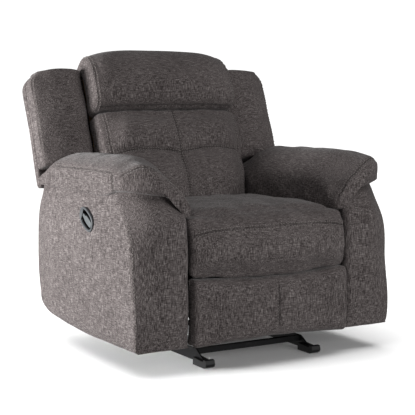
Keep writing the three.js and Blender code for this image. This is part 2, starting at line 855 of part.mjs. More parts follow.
function backRearPanel() {
  const corner = 60;
  const [narrow, wide] = [halfSeat - 30, wingOuter];
  const shape = new THREE.Shape();
  shape.moveTo(-narrow, panelBottom);
  shape.lineTo(narrow, panelBottom);
  shape.lineTo(narrow, panelSideBottom);
  shape.lineTo(wide, panelSideBottom);
  shape.lineTo(wide, wingTop - corner);
  shape.absarc(wide - corner, wingTop - corner, corner, 0, Math.PI / 2, false);
  shape.lineTo(-wide + corner, wingTop);
  shape.absarc(-wide + corner, wingTop - corner, corner, Math.PI / 2, Math.PI, false);
  shape.lineTo(-wide, panelSideBottom);
  shape.lineTo(-narrow, panelSideBottom);
  const geometry = new THREE.ExtrudeGeometry(shape, {
    depth: panelThick,
    bevelEnabled: false,
    curveSegments: 6,
  });
  geometry.rotateX(Math.PI / 2);
  geometry.translate(0, backPanelRear, 0);
  return solid(geometry);
}

backPieces(piece('back_rear_panel', backRearPanel(), fabric));

// ---------------------------------------------------------------- footrest linkage

const tiltPin = [boardPivot[0] + boardPin[0], boardPivot[1] + boardPin[1]];
const linkHalf = 8;
const boss = 12;
const linkPin = 4;

function crank() {
  const [x0, x1] = aLayer;
  const body = join(
    bar(crankPivot, knee, linkHalf, x0, x1),
    bar(knee, ear, linkHalf, x0, x1),
    disc(crankPivot, tubeRadius + 6, x0, x1),
    disc(knee, linkPin, x1 - 1, bLayer[1] + 1),
    disc(ear, linkPin, dLayer[0] - 1, x0 + 1),
  );
  return cut(body, hole(crankPivot, tubeRadius + gap, x0, x1));
}

function carryLink() {
  const [x0, x1] = bLayer;
  const body = join(
    bar(knee, boardPivot, linkHalf, x0, x1),
    disc(knee, boss, x0, x1),
    disc(followEnd, linkPin, x1 - 1, cLayer[1] + 1),
    disc(boardPivot, linkPin, aLayer[0] - 1, x0 + 1),
  );
  return cut(body, hole(knee, linkPin + clearance, x0, x1));
}

function followLink() {
  const [x0, x1] = cLayer;
  const body = join(bar(followPivot, followEnd, linkHalf, x0, x1), disc(followPivot, 11, x0, x1));
  const holes = [hole(followPivot, 6 + clearance, x0, x1), hole(followEnd, linkPin + clearance, x0, x1)];
  return cut(body, ...holes);
}

// The tilt link turns the footrest board as the linkage opens. Its far end is the open pivot.
function tiltLink() {
  const [x0, x1] = dLayer;
  const body = join(bar(ear, tiltPin, linkHalf, x0, x1), disc(tiltPin, 12, x0, x1));
  const holes = [hole(ear, linkPin + clearance, x0, x1), hole(tiltPin, linkPin + tiltSlack, x0, x1)];
  return cut(body, ...holes);
}

function footrestBracket() {
  const [x0, x1] = aLayer;
  const flangeFront = boardBack - gap;
  const foot = boardPivot[1] - 50;
  const head = boardPivot[1] + 45;
  const body = join(
    bar(boardPivot, tiltPin, 10, x0, x1),
    across(
      polygon([
        [boardPivot[0] - 4, boardPivot[1] + 9],
        [tiltPin[0] - 6, tiltPin[1] - 9],
        [flangeFront, foot],
        [flangeFront, head],
      ]),
      x0,
      x1,
    ),
    block([x0 - plateGap + 1, -(flangeFront - plate), foot], [x1 - 0.5, -flangeFront, head]),
    disc(tiltPin, linkPin, dLayer[0] - 1, x0 + 1),
  );
  return cut(body, hole(boardPivot, linkPin + clearance, x0, x1));
}

pair('crank', crank(), steel);
const tubeHalf = aLayer[1] - gap;
piece('torque_tube', disc(crankPivot, tubeRadius, -tubeHalf, tubeHalf), steel);
pair('carry_link', carryLink(), steel);
pair('follow_link', followLink(), steel);
pair('tilt_link', tiltLink(), steel);
pair('footrest_bracket', footrestBracket(), steel);

piece(
  'footrest_board',
  block(
    [-(seatHalf - 6), -boardBack, footrestBottom + 3],
    [seatHalf - 6, -(boardBack + boardThick), footrestTop - 2],
  ),
  timber,
);

// The footrest pad: crowned in front, higher along the middle of its lower edge.
function footrestPad() {
  const backFace = boardBack + boardThick + gap;
  return shaped([8, 1, 6], (a, b, c) => {
    const low = footrestBottom + 14 * dome(a);
    const z = mix(low, footrestTop, c);
    const crown = mix(38, front - backFace, dome(a)) * (0.62 + 0.38 * Math.sqrt(dome(c)));
    return [mix(-seatHalf + 2, seatHalf - 2, a), -(backFace + (b < 0.5 ? crown : 0)), z];
  });
}

piece('footrest_pad', footrestPad(), fabric);

// ---------------------------------------------------------------- the whole chair

const chair = new THREE.Group();
const inBack = new Set(back.children);
chair.add(back, ...pieces.filter((mesh) => !inBack.has(mesh)));

export default chair;
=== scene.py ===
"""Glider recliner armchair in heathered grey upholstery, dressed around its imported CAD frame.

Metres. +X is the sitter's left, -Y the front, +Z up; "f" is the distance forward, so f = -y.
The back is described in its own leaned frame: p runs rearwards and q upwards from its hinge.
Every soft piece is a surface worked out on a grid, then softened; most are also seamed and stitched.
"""

import math

import bpy
import numpy as np
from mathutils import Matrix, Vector
from mathutils.bvhtree import BVHTree


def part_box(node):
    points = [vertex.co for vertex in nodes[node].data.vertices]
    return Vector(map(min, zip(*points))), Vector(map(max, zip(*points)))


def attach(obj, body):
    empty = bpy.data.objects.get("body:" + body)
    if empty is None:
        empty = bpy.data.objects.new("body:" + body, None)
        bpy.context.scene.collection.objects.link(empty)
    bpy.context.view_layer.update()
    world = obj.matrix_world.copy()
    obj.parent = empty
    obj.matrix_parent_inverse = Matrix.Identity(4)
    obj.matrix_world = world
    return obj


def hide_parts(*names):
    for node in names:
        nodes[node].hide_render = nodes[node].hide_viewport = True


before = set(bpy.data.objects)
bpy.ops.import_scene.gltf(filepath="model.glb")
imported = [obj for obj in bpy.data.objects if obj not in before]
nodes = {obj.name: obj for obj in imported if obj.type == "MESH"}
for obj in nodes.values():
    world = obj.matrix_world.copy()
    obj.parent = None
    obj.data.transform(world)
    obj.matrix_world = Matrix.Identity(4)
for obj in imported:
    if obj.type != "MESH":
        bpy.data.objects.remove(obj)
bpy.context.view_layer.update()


# ---------------------------------------------------------------- where things are

HINGE_Y, HINGE_Z = 0.151854, 0.300
LEAN = math.radians(20.6)
RELEASE_TILT = math.radians(-27)  # the release handle's oval, nose down
RELEASE_AT = (0.101, 0.464)  # f and z of the middle of the oval
ARM_INNER, ARM_RIM, ARM_BULGE = 0.300, 0.484, 0.016
ARM_LOW, ARM_TOP = 0.083, 0.547
PANEL_TOP = ARM_TOP - 0.0003


# ---------------------------------------------------------------- curves and grids


def through(points):
    """A smooth curve through rows of (place, value), read at any place: cubic pieces that leave
    each row at the slope of its neighbours."""
    where, value = np.array(points, float).T
    slope = np.gradient(value, where)

    def read(place):
        place = np.clip(place, where[0], where[-1])
        i = np.clip(np.searchsorted(where, place) - 1, 0, len(where) - 2)
        span = where[i + 1] - where[i]
        t = (place - where[i]) / span
        s = 1 - t
        ends = value[i] * (1 + 2 * t) * s**2 + value[i + 1] * t**2 * (3 - 2 * t)
        return ends + span * (slope[i] * t * s**2 - slope[i + 1] * t**2 * s)

    return read


def mix(a, b, t):
    """The value a share t of the way from a to b."""
    return a + (b - a) * t


def dome(t):
    """0 at both ends of 0 to 1, and 1 in the middle: 1 - (2t - 1) squared."""
    return 1 - (2 * t - 1) ** 2


def ease(low, high, value):
    """Rises smoothly from 0 at low to 1 at high: t squared times (3 - 2t)."""
    t = np.clip((value - low) / (high - low), 0, 1)
    return t * t * (3 - 2 * t)


def rounded(controls, per):
    """Closed rings through their control points: control points (..., k, 2) become
    (..., k * per, 2) by a periodic Catmull-Rom curve."""
    before, after = np.roll(controls, 1, -2), np.roll(controls, -1, -2)
    far = np.roll(controls, -2, -2)
    t = (np.arange(per) / per)[:, None]
    p0, p1, p2, p3 = (each[..., :, None, :] for each in (before, controls, after, far))
    ring = 0.5 * (2 * p1 + (p2 - p0) * t + (2 * p0 - 5 * p1 + 4 * p2 - p3) * t**2
                  + (3 * p1 - p0 - 3 * p2 + p3) * t**3)
    return ring.reshape(*controls.shape[:-2], -1, 2)


def evened(rings, count):
    """The same closed rings with their points at equal distances along each ring."""
    closed = np.concatenate([rings, rings[:, :1]], 1)
    step = np.linalg.norm(np.diff(closed, axis=1), axis=2)
    run = np.concatenate([np.zeros((len(rings), 1)), np.cumsum(step, 1)], 1)
    wanted = np.arange(count) / count
    out = np.empty((len(rings), count, 2))
    for i, (ring, length) in enumerate(zip(closed, run)):
        for axis in range(2):
            out[i, :, axis] = np.interp(wanted * length[-1], length, ring[:, axis])
    return out


def put(name, points, faces, smooth=True):
    """A mesh object at the origin from arrays of points and faces."""
    mesh = bpy.data.meshes.new(name)
    mesh.from_pydata(points.tolist(), [], faces)
    mesh.validate()
    mesh.update()
    mesh.polygons.foreach_set("use_smooth", np.full(len(mesh.polygons), smooth))
    piece = bpy.data.objects.new(name, mesh)
    bpy.context.scene.collection.objects.link(piece)
    return piece


def tube_of(name, rings):
    """A closed skin over rings of points (n, m, 3), with a pole at each end."""
    n, m = rings.shape[:2]
    points = np.concatenate([rings.reshape(-1, 3), [rings[0].mean(0), rings[-1].mean(0)]])
    i, j = np.meshgrid(np.arange(n - 1), np.arange(m), indexing="ij")
    a, b = i * m + j, i * m + (j + 1) % m
    quads = np.stack([a, b, b + m, a + m], -1).reshape(-1, 4).tolist()
    j = np.arange(m)
    k = (j + 1) % m
    first = np.stack([np.full(m, n * m), k, j], -1).tolist()
    last = np.stack([np.full(m, n * m + 1), j + (n - 1) * m, k + (n - 1) * m], -1).tolist()
    piece = put(name, points, quads + first + last)
    face_out(piece)
    return piece


def face_out(piece):
    """Turns a closed skin right side out: its faces' cones from the origin add up to its volume,
    which is negative where they point inwards."""
    mesh = piece.data
    mesh.calc_loop_triangles()
    co = np.zeros(len(mesh.vertices) * 3)
    mesh.vertices.foreach_get("co", co)
    tri = np.zeros(len(mesh.loop_triangles) * 3, int)
    mesh.loop_triangles.foreach_get("vertices", tri)
    a, b, c = co.reshape(-1, 3)[tri.reshape(-1, 3)].transpose(1, 0, 2)
    if np.einsum("ij,ij->", a, np.cross(b, c)) < 0:
        mesh.flip_normals()


def loft(sections, along, radius, cap=5, bend=5):
    """Sections (n, m, 2) at their places along an axis, closed with rounded ends.
    Each end leaves its last section on a quarter circle of the radius, then runs flat to its
    middle. Returns rings (rows, m, 3) as (section a, section b, along)."""
    radius = np.broadcast_to(radius, 2)

    def end(section, place, r, sign):
        tangent = np.roll(section, -1, 0) - np.roll(section, 1, 0)
        normal = np.stack([tangent[:, 1], -tangent[:, 0]], 1)
        normal /= np.linalg.norm(normal, axis=1, keepdims=True) + 1e-12
        area = np.sum(section[:, 0] * np.roll(section[:, 1], -1)
                      - np.roll(section[:, 0], -1) * section[:, 1])
        turn = np.linspace(0, math.pi / 2, bend + 1)[1:]
        rows = [section - np.sign(area) * normal * r * (1 - math.cos(t)) for t in turn]
        places = [place + sign * r * math.sin(t) for t in turn]
        middle = rows[-1].mean(0)
        for share in np.linspace(1, 0.02, cap + 1)[1:]:
            rows.append(middle + (rows[bend - 1] - middle) * share)
            places.append(places[bend - 1])
        return rows, places

    first, first_at = end(sections[0], along[0], radius[0], -1)
    last, last_at = end(sections[-1], along[-1], radius[1], 1)
    flat = np.array(first[::-1] + list(sections) + last)
    place = np.array(first_at[::-1] + list(along) + last_at)
    return np.concatenate([flat, np.broadcast_to(place[:, None, None], (*flat.shape[:2], 1))], 2)


def leaned(x, p, q):
    """Points of the back's own frame, in the chair's: p and q turned by the lean about the hinge."""
    y = HINGE_Y + q * math.sin(LEAN) + p * math.cos(LEAN)
    z = HINGE_Z + q * math.cos(LEAN) - p * math.sin(LEAN)
    return np.stack([x, y, z], -1)


# ---------------------------------------------------------------- working on a finished skin


def read_points(piece):
    """The places of a piece's points, one row each."""
    co = np.zeros(len(piece.data.vertices) * 3)
    piece.data.vertices.foreach_get("co", co)
    return co.reshape(-1, 3)


def read_normals(piece):
    """The outward direction at each point of a piece."""
    normal = np.zeros(len(piece.data.vertices) * 3)
    piece.data.vertex_normals.foreach_get("vector", normal)
    return normal.reshape(-1, 3)


def write_points(piece, co):
    """Moves a piece's points to the given places."""
    piece.data.vertices.foreach_set("co", np.ascontiguousarray(co, float).ravel())
    piece.data.update()


def apply_modifiers(piece):
    """Bakes the live modifiers into the mesh."""
    depsgraph = bpy.context.evaluated_depsgraph_get()
    mesh = bpy.data.meshes.new_from_object(piece.evaluated_get(depsgraph))
    piece.modifiers.clear()
    old, piece.data = piece.data, mesh
    bpy.data.meshes.remove(old)
    mesh.polygons.foreach_set("use_smooth", np.ones(len(mesh.polygons), bool))


def finer(piece):
    """One level of Catmull-Clark subdivision, baked."""
    step = piece.modifiers.new("finer", "SUBSURF")
    step.levels = step.render_levels = 1
    apply_modifiers(piece)


SHRINK = 0.005  # how much smaller a cushion starts than its cover
FREE = 0.055  # how far from a seam a cover swells freely
INWARD = -0.0015  # how far inwards the cover may fall
SIM_FRAMES = 20
PRESSURE = 4.0
CELL = 0.0065  # size of the cells that a cover is remade of


def held(points, lines):
    """How free each point is to swell: 0 on a sewn line, rising to 1 at FREE away from it."""
    free = np.ones(len(points))
    for path in lines:
        distance, _ = nearest(points, resampled(path, 0.006))
        free = np.minimum(free, np.clip(distance / FREE, 0, 1) ** 0.6)
    return free[:, None]


def inflate(piece, lines, cap):
    """Cloth under pressure, with no gravity: the skin is remade as small cells, starts smaller
    than its cover and swells for twenty frames. It is held along the sewn lines, moves no
    further than the cap and hardly falls inwards at the edges."""
    scene = bpy.context.scene
    pad = bpy.data.objects.new(piece.name + "_cloth", piece.data.copy())
    scene.collection.objects.link(pad)
    cells = pad.modifiers.new("cells", "REMESH")
    cells.mode, cells.voxel_size = "VOXEL", CELL
    apply_modifiers(pad)
    cover, outward = read_points(pad), read_normals(pad)
    before = cover - outward * SHRINK
    write_points(pad, before)
    cloth = pad.modifiers.new("cloth", "CLOTH")
    settings = cloth.settings
    settings.quality = 5
    settings.use_pressure = True
    settings.uniform_pressure_force = PRESSURE
    settings.tension_stiffness = settings.compression_stiffness = 12
    settings.bending_stiffness = 0.6
    settings.effector_weights.gravity = 0
    cloth.point_cache.frame_start, cloth.point_cache.frame_end = 1, SIM_FRAMES
    for number in range(1, SIM_FRAMES + 1):
        scene.frame_set(number)
    apply_modifiers(pad)
    scene.frame_set(1)
    move = read_points(pad) - cover
    out = (move * outward).sum(1, keepdims=True)
    move += outward * (np.maximum(out, INWARD) - out)
    length = np.linalg.norm(move, axis=1, keepdims=True)
    move *= np.minimum(1, cap / np.maximum(length, 1e-9)) * held(cover, lines)
    write_points(pad, cover + move)
    finer(pad)
    old, piece.data = piece.data, pad.data
    bpy.data.objects.remove(pad)
    bpy.data.meshes.remove(old)


def rumple(piece, height, size, seed):
    """Slow waves in the stuffing: the sum of ten sine waves of seeded directions, along the
    normals, with wavelengths near size."""
    rng = np.random.default_rng(seed)
    waves = rng.normal(size=(10, 3))
    waves *= 2 * math.pi / (np.linalg.norm(waves, axis=1, keepdims=True) * size
                            * rng.uniform(0.7, 1.5, (10, 1)))
    co = read_points(piece)
    rise = np.sin(co @ waves.T + rng.uniform(0, 2 * math.pi, 10)).sum(1) / math.sqrt(5)
    write_points(piece, co + read_normals(piece) * (height * rise)[:, None])


def resampled(path, step):
    """A line's points at equal steps along it."""
    path = np.asarray(path, float)
    run = np.concatenate([[0], np.cumsum(np.linalg.norm(np.diff(path, axis=0), axis=1))])
    at = np.linspace(0, run[-1], max(3, int(run[-1] / step) + 1))
    return np.stack([np.interp(at, run, path[:, axis]) for axis in range(3)], 1)


def nearest(co, path):
    """For every point, the distance to the line and how far along it the nearest place is."""
    step = np.concatenate([[0], np.cumsum(np.linalg.norm(np.diff(path, axis=0), axis=1))])
    distance, along = np.empty(len(co)), np.empty(len(co))
    block = 20000
    for low in range(0, len(co), block):
        part = co[low:low + block]
        gap = ((part[:, None] - path[None]) ** 2).sum(2)
        best = gap.argmin(1)
        distance[low:low + block] = np.sqrt(gap[np.arange(len(part)), best])
        along[low:low + block] = step[best]
    return distance, along


LINE_STEP = 0.002  # between the places that stand for a seam's line
GATHER_REACH = 0.018  # how far the gathers beside a seam carry


def seam(piece, path, depth=0.003, width=0.0045, pucker=0.0008, pitch=0.017):
    """A sewn seam: the skin sinks by depth times exp(-(d / width) squared) at distance d from the
    line, and gathers beside it in ripples of the pitch that fade with the distance. How near the
    seam is, scaled by its depth, goes into a point attribute of painted shade that darkens the
    cloth's colour along the groove."""
    path = resampled(path, LINE_STEP)
    co = read_points(piece)
    distance, along = nearest(co, path)
    rng = np.random.default_rng(1)
    wander = rng.uniform(0, 2 * math.pi, 3)
    phase = along * 2 * math.pi / pitch + 1.4 * np.sin(along * 31 + wander[0])
    ripple = np.sin(phase) * (0.6 + 0.4 * np.sin(along * 47 + wander[1]))
    sink = depth * np.exp(-((distance / width) ** 2))
    beside = np.exp(-distance / GATHER_REACH) * (1 - np.exp(-((distance / 0.004) ** 2)))
    sink += pucker * ripple * beside
    write_points(piece, co - read_normals(piece) * sink[:, None])
    # painted shade: how strongly the cloth's colour is darkened beside the seam, more for deeper
    # seams
    crease = np.exp(-((distance / (width * 1.1)) ** 2)) * min(1, depth / 0.003)
    attribute = piece.data.attributes.get("crease")
    if attribute is None:
        attribute = piece.data.attributes.new("crease", "FLOAT", "POINT")
    else:
        old = np.zeros(len(co), np.float32)
        attribute.data.foreach_get("value", old)
        crease = np.maximum(crease, old)
    attribute.data.foreach_set("value", crease.astype(np.float32))


def fold(piece, path, height, width):
    """A raised or sunk fold: height times exp(-(d / width) squared) at distance d from the line."""
    co = read_points(piece)
    distance, _ = nearest(co, resampled(path, 0.004))
    fade = np.exp(-((distance / width) ** 2))
    write_points(piece, co + read_normals(piece) * (height * fade)[:, None])


def skin_of(piece):
    """A tree of the piece's faces, to lay lines on."""
    mesh = piece.data
    mesh.calc_loop_triangles()
    tri = np.zeros(len(mesh.loop_triangles) * 3, int)
    mesh.loop_triangles.foreach_get("vertices", tri)
    return BVHTree.FromPolygons(read_points(piece).tolist(), tri.reshape(-1, 3).tolist())


STITCH_LONG, STITCH_GAP, THREAD = 0.0070, 0.0028, 0.0011


def stitch_rows(name, piece, rows):
    """Rows of stitches laid on a piece. Each row is a line and its sideways offset. A stitch is a
    six-sided thread of five rings, whose ends dip into the cloth."""
    tree = skin_of(piece)
    middles, tangents, normals = [], [], []
    for path, offset in rows:
        line = resampled(path, STITCH_LONG + STITCH_GAP)
        tangent = np.gradient(line, axis=0)
        tangent /= np.linalg.norm(tangent, axis=1, keepdims=True)
        for point, way in zip(line[1:-1], tangent[1:-1]):
            place, normal, _, _ = tree.find_nearest(Vector(point))
            side = np.cross(np.array(normal), way)
            place, normal, _, _ = tree.find_nearest(place + Vector(side * offset))
            middles.append(place)
            tangents.append(way)
            normals.append(normal)
    middles, tangents, normals = map(np.array, (middles, tangents, normals))
    tangents -= normals * (tangents * normals).sum(1, keepdims=True)
    tangents /= np.linalg.norm(tangents, axis=1, keepdims=True)
    side = np.cross(normals, tangents)
    rings, sides = 5, 6
    s = np.linspace(-1, 1, rings)[:, None]
    turn = np.arange(sides) * 2 * math.pi / sides
    thick = THREAD * np.sqrt(np.maximum(1 - 0.75 * s**2, 0))
    lift = THREAD * (0.7 - 1.5 * s**2) + thick * np.sin(turn)
    along = np.broadcast_to(s * STITCH_LONG / 2, lift.shape)
    across = thick * np.cos(turn)
    points = (middles[:, None, None] + tangents[:, None, None] * along[..., None]
              + normals[:, None, None] * lift[..., None] + side[:, None, None] * across[..., None])
    i, j = np.meshgrid(np.arange(rings - 1), np.arange(sides), indexing="ij")
    a, b = i * sides + j, i * sides + (j + 1) % sides
    quads = np.stack([a, a + sides, b + sides, b], -1).reshape(-1, 4)
    each = rings * sides
    start = (np.arange(len(middles)) * each)[:, None, None]
    faces = (quads[None] + start).reshape(-1, 4).tolist()
    ends = np.array([np.arange(sides), np.arange(each - 1, each - 1 - sides, -1)])
    faces += (ends[None] + start).reshape(-1, sides).tolist()
    return put(name, points.reshape(-1, 3), faces)


# ---------------------------------------------------------------- materials


class Wire:
    """One output of a node. Arithmetic on it adds Math nodes; numbers alone stay numbers."""

    def __init__(self, finish, socket):
        self.finish, self.socket = finish, socket

    def math(self, operation, *values):
        return self.finish.node("ShaderNodeMath", {"operation": operation}, *values)

    def __add__(self, other):
        return self.math("ADD", self, other)

    def __sub__(self, other):
        return self.math("SUBTRACT", self, other)

    def __rsub__(self, other):
        return self.math("SUBTRACT", other, self)

    def __mul__(self, other):
        return self.math("MULTIPLY", self, other)

    __radd__, __rmul__ = __add__, __mul__

    def sine(self):
        return self.math("SINE", self)

    def clamped(self):
        return self.finish.node("ShaderNodeClamp", {}, self)


class Finish:
    """A material of one surface shader. What is the same all over is set on its own sockets."""

    def __init__(self, name, **constants):
        self.material = bpy.data.materials.new(name)
        self.material.use_nodes = True
        self.tree = self.material.node_tree
        self.shader = self.tree.nodes["Principled BSDF"]
        for socket, value in constants.items():
            self.shader.inputs[socket.replace("_", " ")].default_value = value

    def node(self, kind, settings, *values, output=0, **named):
        """Adds a node: its settings first, then its sockets' values or links, by place or name."""
        node = self.tree.nodes.new(kind)
        for key, value in settings.items():
            if key == "stops":
                ramp = node.color_ramp.elements
                while len(ramp) < len(value):
                    ramp.new(0.5)
                for element, (place, colour) in zip(ramp, value):
                    element.position = place
                    element.color = colour
            else:
                setattr(node, key, value)
        sockets = list(enumerate(values)) + [(k.replace("_", " "), v) for k, v in named.items()]
        for key, value in sockets:
            if isinstance(value, Wire):
                self.tree.links.new(value.socket, node.inputs[key])
            else:
                node.inputs[key].default_value = value
        return Wire(self, node.outputs[output])

    def place(self):
        return self.node("ShaderNodeTexCoord", {}, output="Object")

    def parts(self, vector):
        """The three numbers of a vector."""
        first = self.node("ShaderNodeSeparateXYZ", {}, vector)
        return [Wire(self, socket) for socket in first.socket.node.outputs]

    def noise(self, vector, scale, stretch=(1, 1, 1), detail=3.0, roughness=0.5):
        at = self.node("ShaderNodeMapping", {}, vector, Scale=stretch)
        return self.node("ShaderNodeTexNoise", {}, at, Scale=scale, Detail=detail,
                         Roughness=roughness)

    def blend(self, factor, a, b):
        """A colour between two colours."""
        settings = {"data_type": "RGBA", "blend_type": "MIX"}
        node = self.node("ShaderNodeMix", settings, output=2)
        for place, value in ((0, factor), (6, a), (7, b)):
            if isinstance(value, Wire):
                self.tree.links.new(value.socket, node.socket.node.inputs[place])
            else:
                node.socket.node.inputs[place].default_value = value
        return node

    def feed(self, **wires):
        for socket, wire in wires.items():
            self.tree.links.new(wire.socket, self.shader.inputs[socket.replace("_", " ")])
        return self

    def bump(self, height, strength, distance):
        return self.node("ShaderNodeBump", {}, Strength=strength, Distance=distance, Height=height)


def rgb(r, g, b):
    """A colour from screen numbers 0 to 255, as light: each share to the power 2.2."""
    return tuple((n / 255) ** 2.2 for n in (r, g, b)) + (1.0,)


def make_upholstery():
    """Heathered chenille: yarns of a light, a middle and a dark grey cross each other, with slubs
    drawn out along each yarn's own way, and a low woven relief. Beside the seams the colour is
    darkened as painted shade."""
    f = Finish("heathered_upholstery", Roughness=0.93, Sheen_Weight=0.22, Sheen_Roughness=0.45,
               Specular_IOR_Level=0.25)
    place = f.place()
    wander = f.noise(place, 90, detail=2.0)
    facing = f.parts(f.node("ShaderNodeTexCoord", {}, output="Normal"))
    slubs = [f.noise(place, 1.0, stretch, 2.5, 0.6)
             for stretch in ((46, 640, 640), (640, 46, 640), (640, 640, 46))]
    heather = 0.5
    for slub, axis, share in zip(slubs, facing, (0.60, 0.70, 0.84)):
        heather = (slub - 0.5) * (1 - axis * axis) * share + heather
    cloud = f.noise(place, 7, detail=2.0)
    fleck = f.noise(place, 560, detail=1.0)
    tone = (heather - 0.5) * 3.0 + (fleck - 0.5) * 0.3 + (cloud - 0.5) * 0.25 + 0.5
    tone = tone.clamped()
    colour = f.node("ShaderNodeValToRGB", {"stops": [
        (0.0, rgb(58, 52, 52)), (0.3, rgb(88, 81, 80)), (0.62, rgb(118, 110, 109)),
        (1.0, rgb(172, 164, 162))]}, tone)
    # painted shade along the seams: the cloth's colour is mixed towards a dark grey where the seam's
    # shade attribute is high
    crease = f.node("ShaderNodeAttribute", {"attribute_name": "crease"}, output="Fac")
    colour = f.blend(crease * 0.55, colour, rgb(48, 44, 44))
    x, y, z = f.parts(place)
    yarn = 2 * math.pi / 0.0034
    waves = [(axis * yarn + wander * 3.2).sine() for axis in (x, y, z)]
    weave = waves[0] * waves[1] + waves[1] * waves[2] + waves[2] * waves[0]
    relief = weave * 0.22 + heather * 1.6 + fleck * 0.4
    rough = tone * 0.06 + 0.88
    return f.feed(Base_Color=colour, Roughness=rough, Normal=f.bump(relief, 0.45, 0.0009))


def make_thread():
    """Twisted topstitching thread, lighter than the cloth."""
    f = Finish("topstitch_thread", Roughness=0.7, Sheen_Weight=0.2)
    place = f.place()
    ply = f.noise(place, 900, detail=1.0)
    return f.feed(Base_Color=f.blend(ply, rgb(128, 121, 118), rgb(172, 164, 160)),
                  Normal=f.bump(ply, 0.4, 0.0004))


def make_steel():
    """Black powder coat: orange-peel relief, dust in patches and dull rubbed places."""
    f = Finish("powder_coated_steel", Metallic=0.15, Specular_IOR_Level=0.5)
    place = f.place()
    peel = f.noise(place, 420, detail=2.0)
    dust = f.noise(place, 22, detail=5.0, roughness=0.62)
    mask = ((dust - 0.56) * 5).clamped()
    return f.feed(Base_Color=f.blend(mask * 0.4, rgb(24, 24, 26), rgb(64, 62, 60)),
                  Roughness=mask * 0.25 + peel * 0.12 + 0.34,
                  Normal=f.bump(peel, 0.25, 0.0006))


def make_timber():
    """Sawn softwood: growth lines drawn out along the board, with darker pores."""
    f = Finish("sawn_timber", Roughness=0.78)
    place = f.place()
    grain = f.noise(place, 1.0, (7, 120, 120), 6.0, 0.6)
    pore = f.noise(place, 1.0, (30, 900, 900), 2.0)
    tone = (grain * 1.5 - 0.25 + (pore - 0.5) * 0.4).clamped()
    return f.feed(Base_Color=f.blend(tone, rgb(150, 110, 70), rgb(206, 170, 122)),
                  Roughness=tone * 0.15 + 0.68,
                  Normal=f.bump(grain + pore * 0.3, 0.4, 0.0008))


def make_bright_steel():
    """Drawn spring wire: bright, with fine marks along it and a breath of rust."""
    f = Finish("drawn_spring_steel", Metallic=1.0)
    place = f.place()
    marks = f.noise(place, 1.0, (900, 60, 900), 3.0)
    rust = ((f.noise(place, 60, detail=4.0) - 0.6) * 6).clamped()
    return f.feed(Base_Color=f.blend(rust * 0.5, rgb(150, 152, 155), rgb(112, 86, 66)),
                  Roughness=marks * 0.2 + rust * 0.3 + 0.22,
                  Normal=f.bump(marks, 0.15, 0.0003))


def make_plastic(name, dark, light, shine):
    """Moulded plastic: a fine spark-eroded grain, with the tone drifting a little."""
    f = Finish(name, Specular_IOR_Level=0.5)
    place = f.place()
    grain = f.noise(place, 1400, detail=2.0)
    drift = f.noise(place, 30, detail=3.0)
    return f.feed(Base_Color=f.blend(drift, rgb(*dark), rgb(*light)),
                  Roughness=grain * 0.15 + shine, Normal=f.bump(grain, 0.2, 0.0003))


upholstery = make_upholstery().material
thread = make_thread().material
finishes = {
    "upholstery": upholstery,
    "timber": make_timber().material,
    "black_steel": make_steel().material,
    "spring_steel": make_bright_steel().material,
    "foot_plastic": make_plastic("black_foot_plastic", (16, 16, 17), (30, 30, 31), 0.42).material,
    "bezel_plastic": make_plastic("grey_bezel_plastic", (84, 87, 90), (100, 103, 106), 0.38).material,
    "lever_plastic": make_plastic("lever_plastic", (104, 109, 111), (122, 127, 129), 0.3).material,
    # black painted shade on the two rails that show between the seat and the footrest, standing for
    # the dark gap there
    "gap_shade": make_plastic("black_lining_cloth", (15, 15, 16), (30, 29, 29), 0.85).material,
    "cable_sheath": make_plastic("cable_sheath", (18, 18, 19), (28, 28, 29), 0.4).material,
}


def dress(piece, body, slot, material=None):
    """Gives a new piece the finish that the slot names, and the body that it rides on."""
    piece.data.materials.clear()
    piece.data.materials.append(material or finishes[slot])
    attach(piece, body)
    return piece


# ---------------------------------------------------------------- the arm's outlines

seam_f = through([(ARM_LOW, 0.411), (0.161, 0.414), (0.313, 0.397), (0.459, 0.372),
                  (0.517, 0.323), (ARM_TOP, 0.281)])
face_f = through([(ARM_LOW, 0.421), (0.163, 0.435), (0.330, 0.433), (0.471, 0.427),
                  (ARM_TOP, 0.415)])
rear_f = through([(ARM_LOW, -0.326), (0.168, -0.334), (0.263, -0.346), (0.349, -0.346),
                  (0.490, -0.320), (0.516, -0.301), (ARM_TOP, -0.288)])
rows_z = np.linspace(ARM_LOW + 0.006, PANEL_TOP - 0.004, 96)
FOOT_TUCK, FOOT_HIGH = 0.007, 0.035
low_z = through([(-0.334, 0.160), (-0.318, 0.128), (-0.290, 0.110), (-0.196, 0.094),
                 (-0.026, ARM_LOW), (0.42, ARM_LOW)])


def follow_edge(f, z):
    """Heights near the floor, moved up so that the lowest row follows the panel's curved lower
    edge: the share of the height left above the edge stays the same."""
    base, low = 0.20, low_z(f)
    return np.where(z < base, low + (z - ARM_LOW) * (base - low) / (base - ARM_LOW), z)


def swell_x(f, z):
    """How far out the side of the arm stands: a dome along the arm times a dome up it."""
    back, front = rear_f(z), seam_f(z)
    along = np.clip((f - back) / (front - back), 0, 1)
    up = np.clip((z - ARM_LOW) / (ARM_TOP - ARM_LOW), 0, 1)
    return ARM_RIM + ARM_BULGE * dome(along) * dome(up)


def tucked_foot(z):
    """How far the panel draws in at its foot: a square of the distance below FOOT_HIGH."""
    return FOOT_TUCK * (1 - np.clip((z - ARM_LOW) / FOOT_HIGH, 0, 1)) ** 2


def meet_pad(x, f, z):
    """How far the top of a panel rises, to stay against the pad's underside."""
    return (nose_lift(x, f) + 0.002) * ease(0.49, 0.545, z)


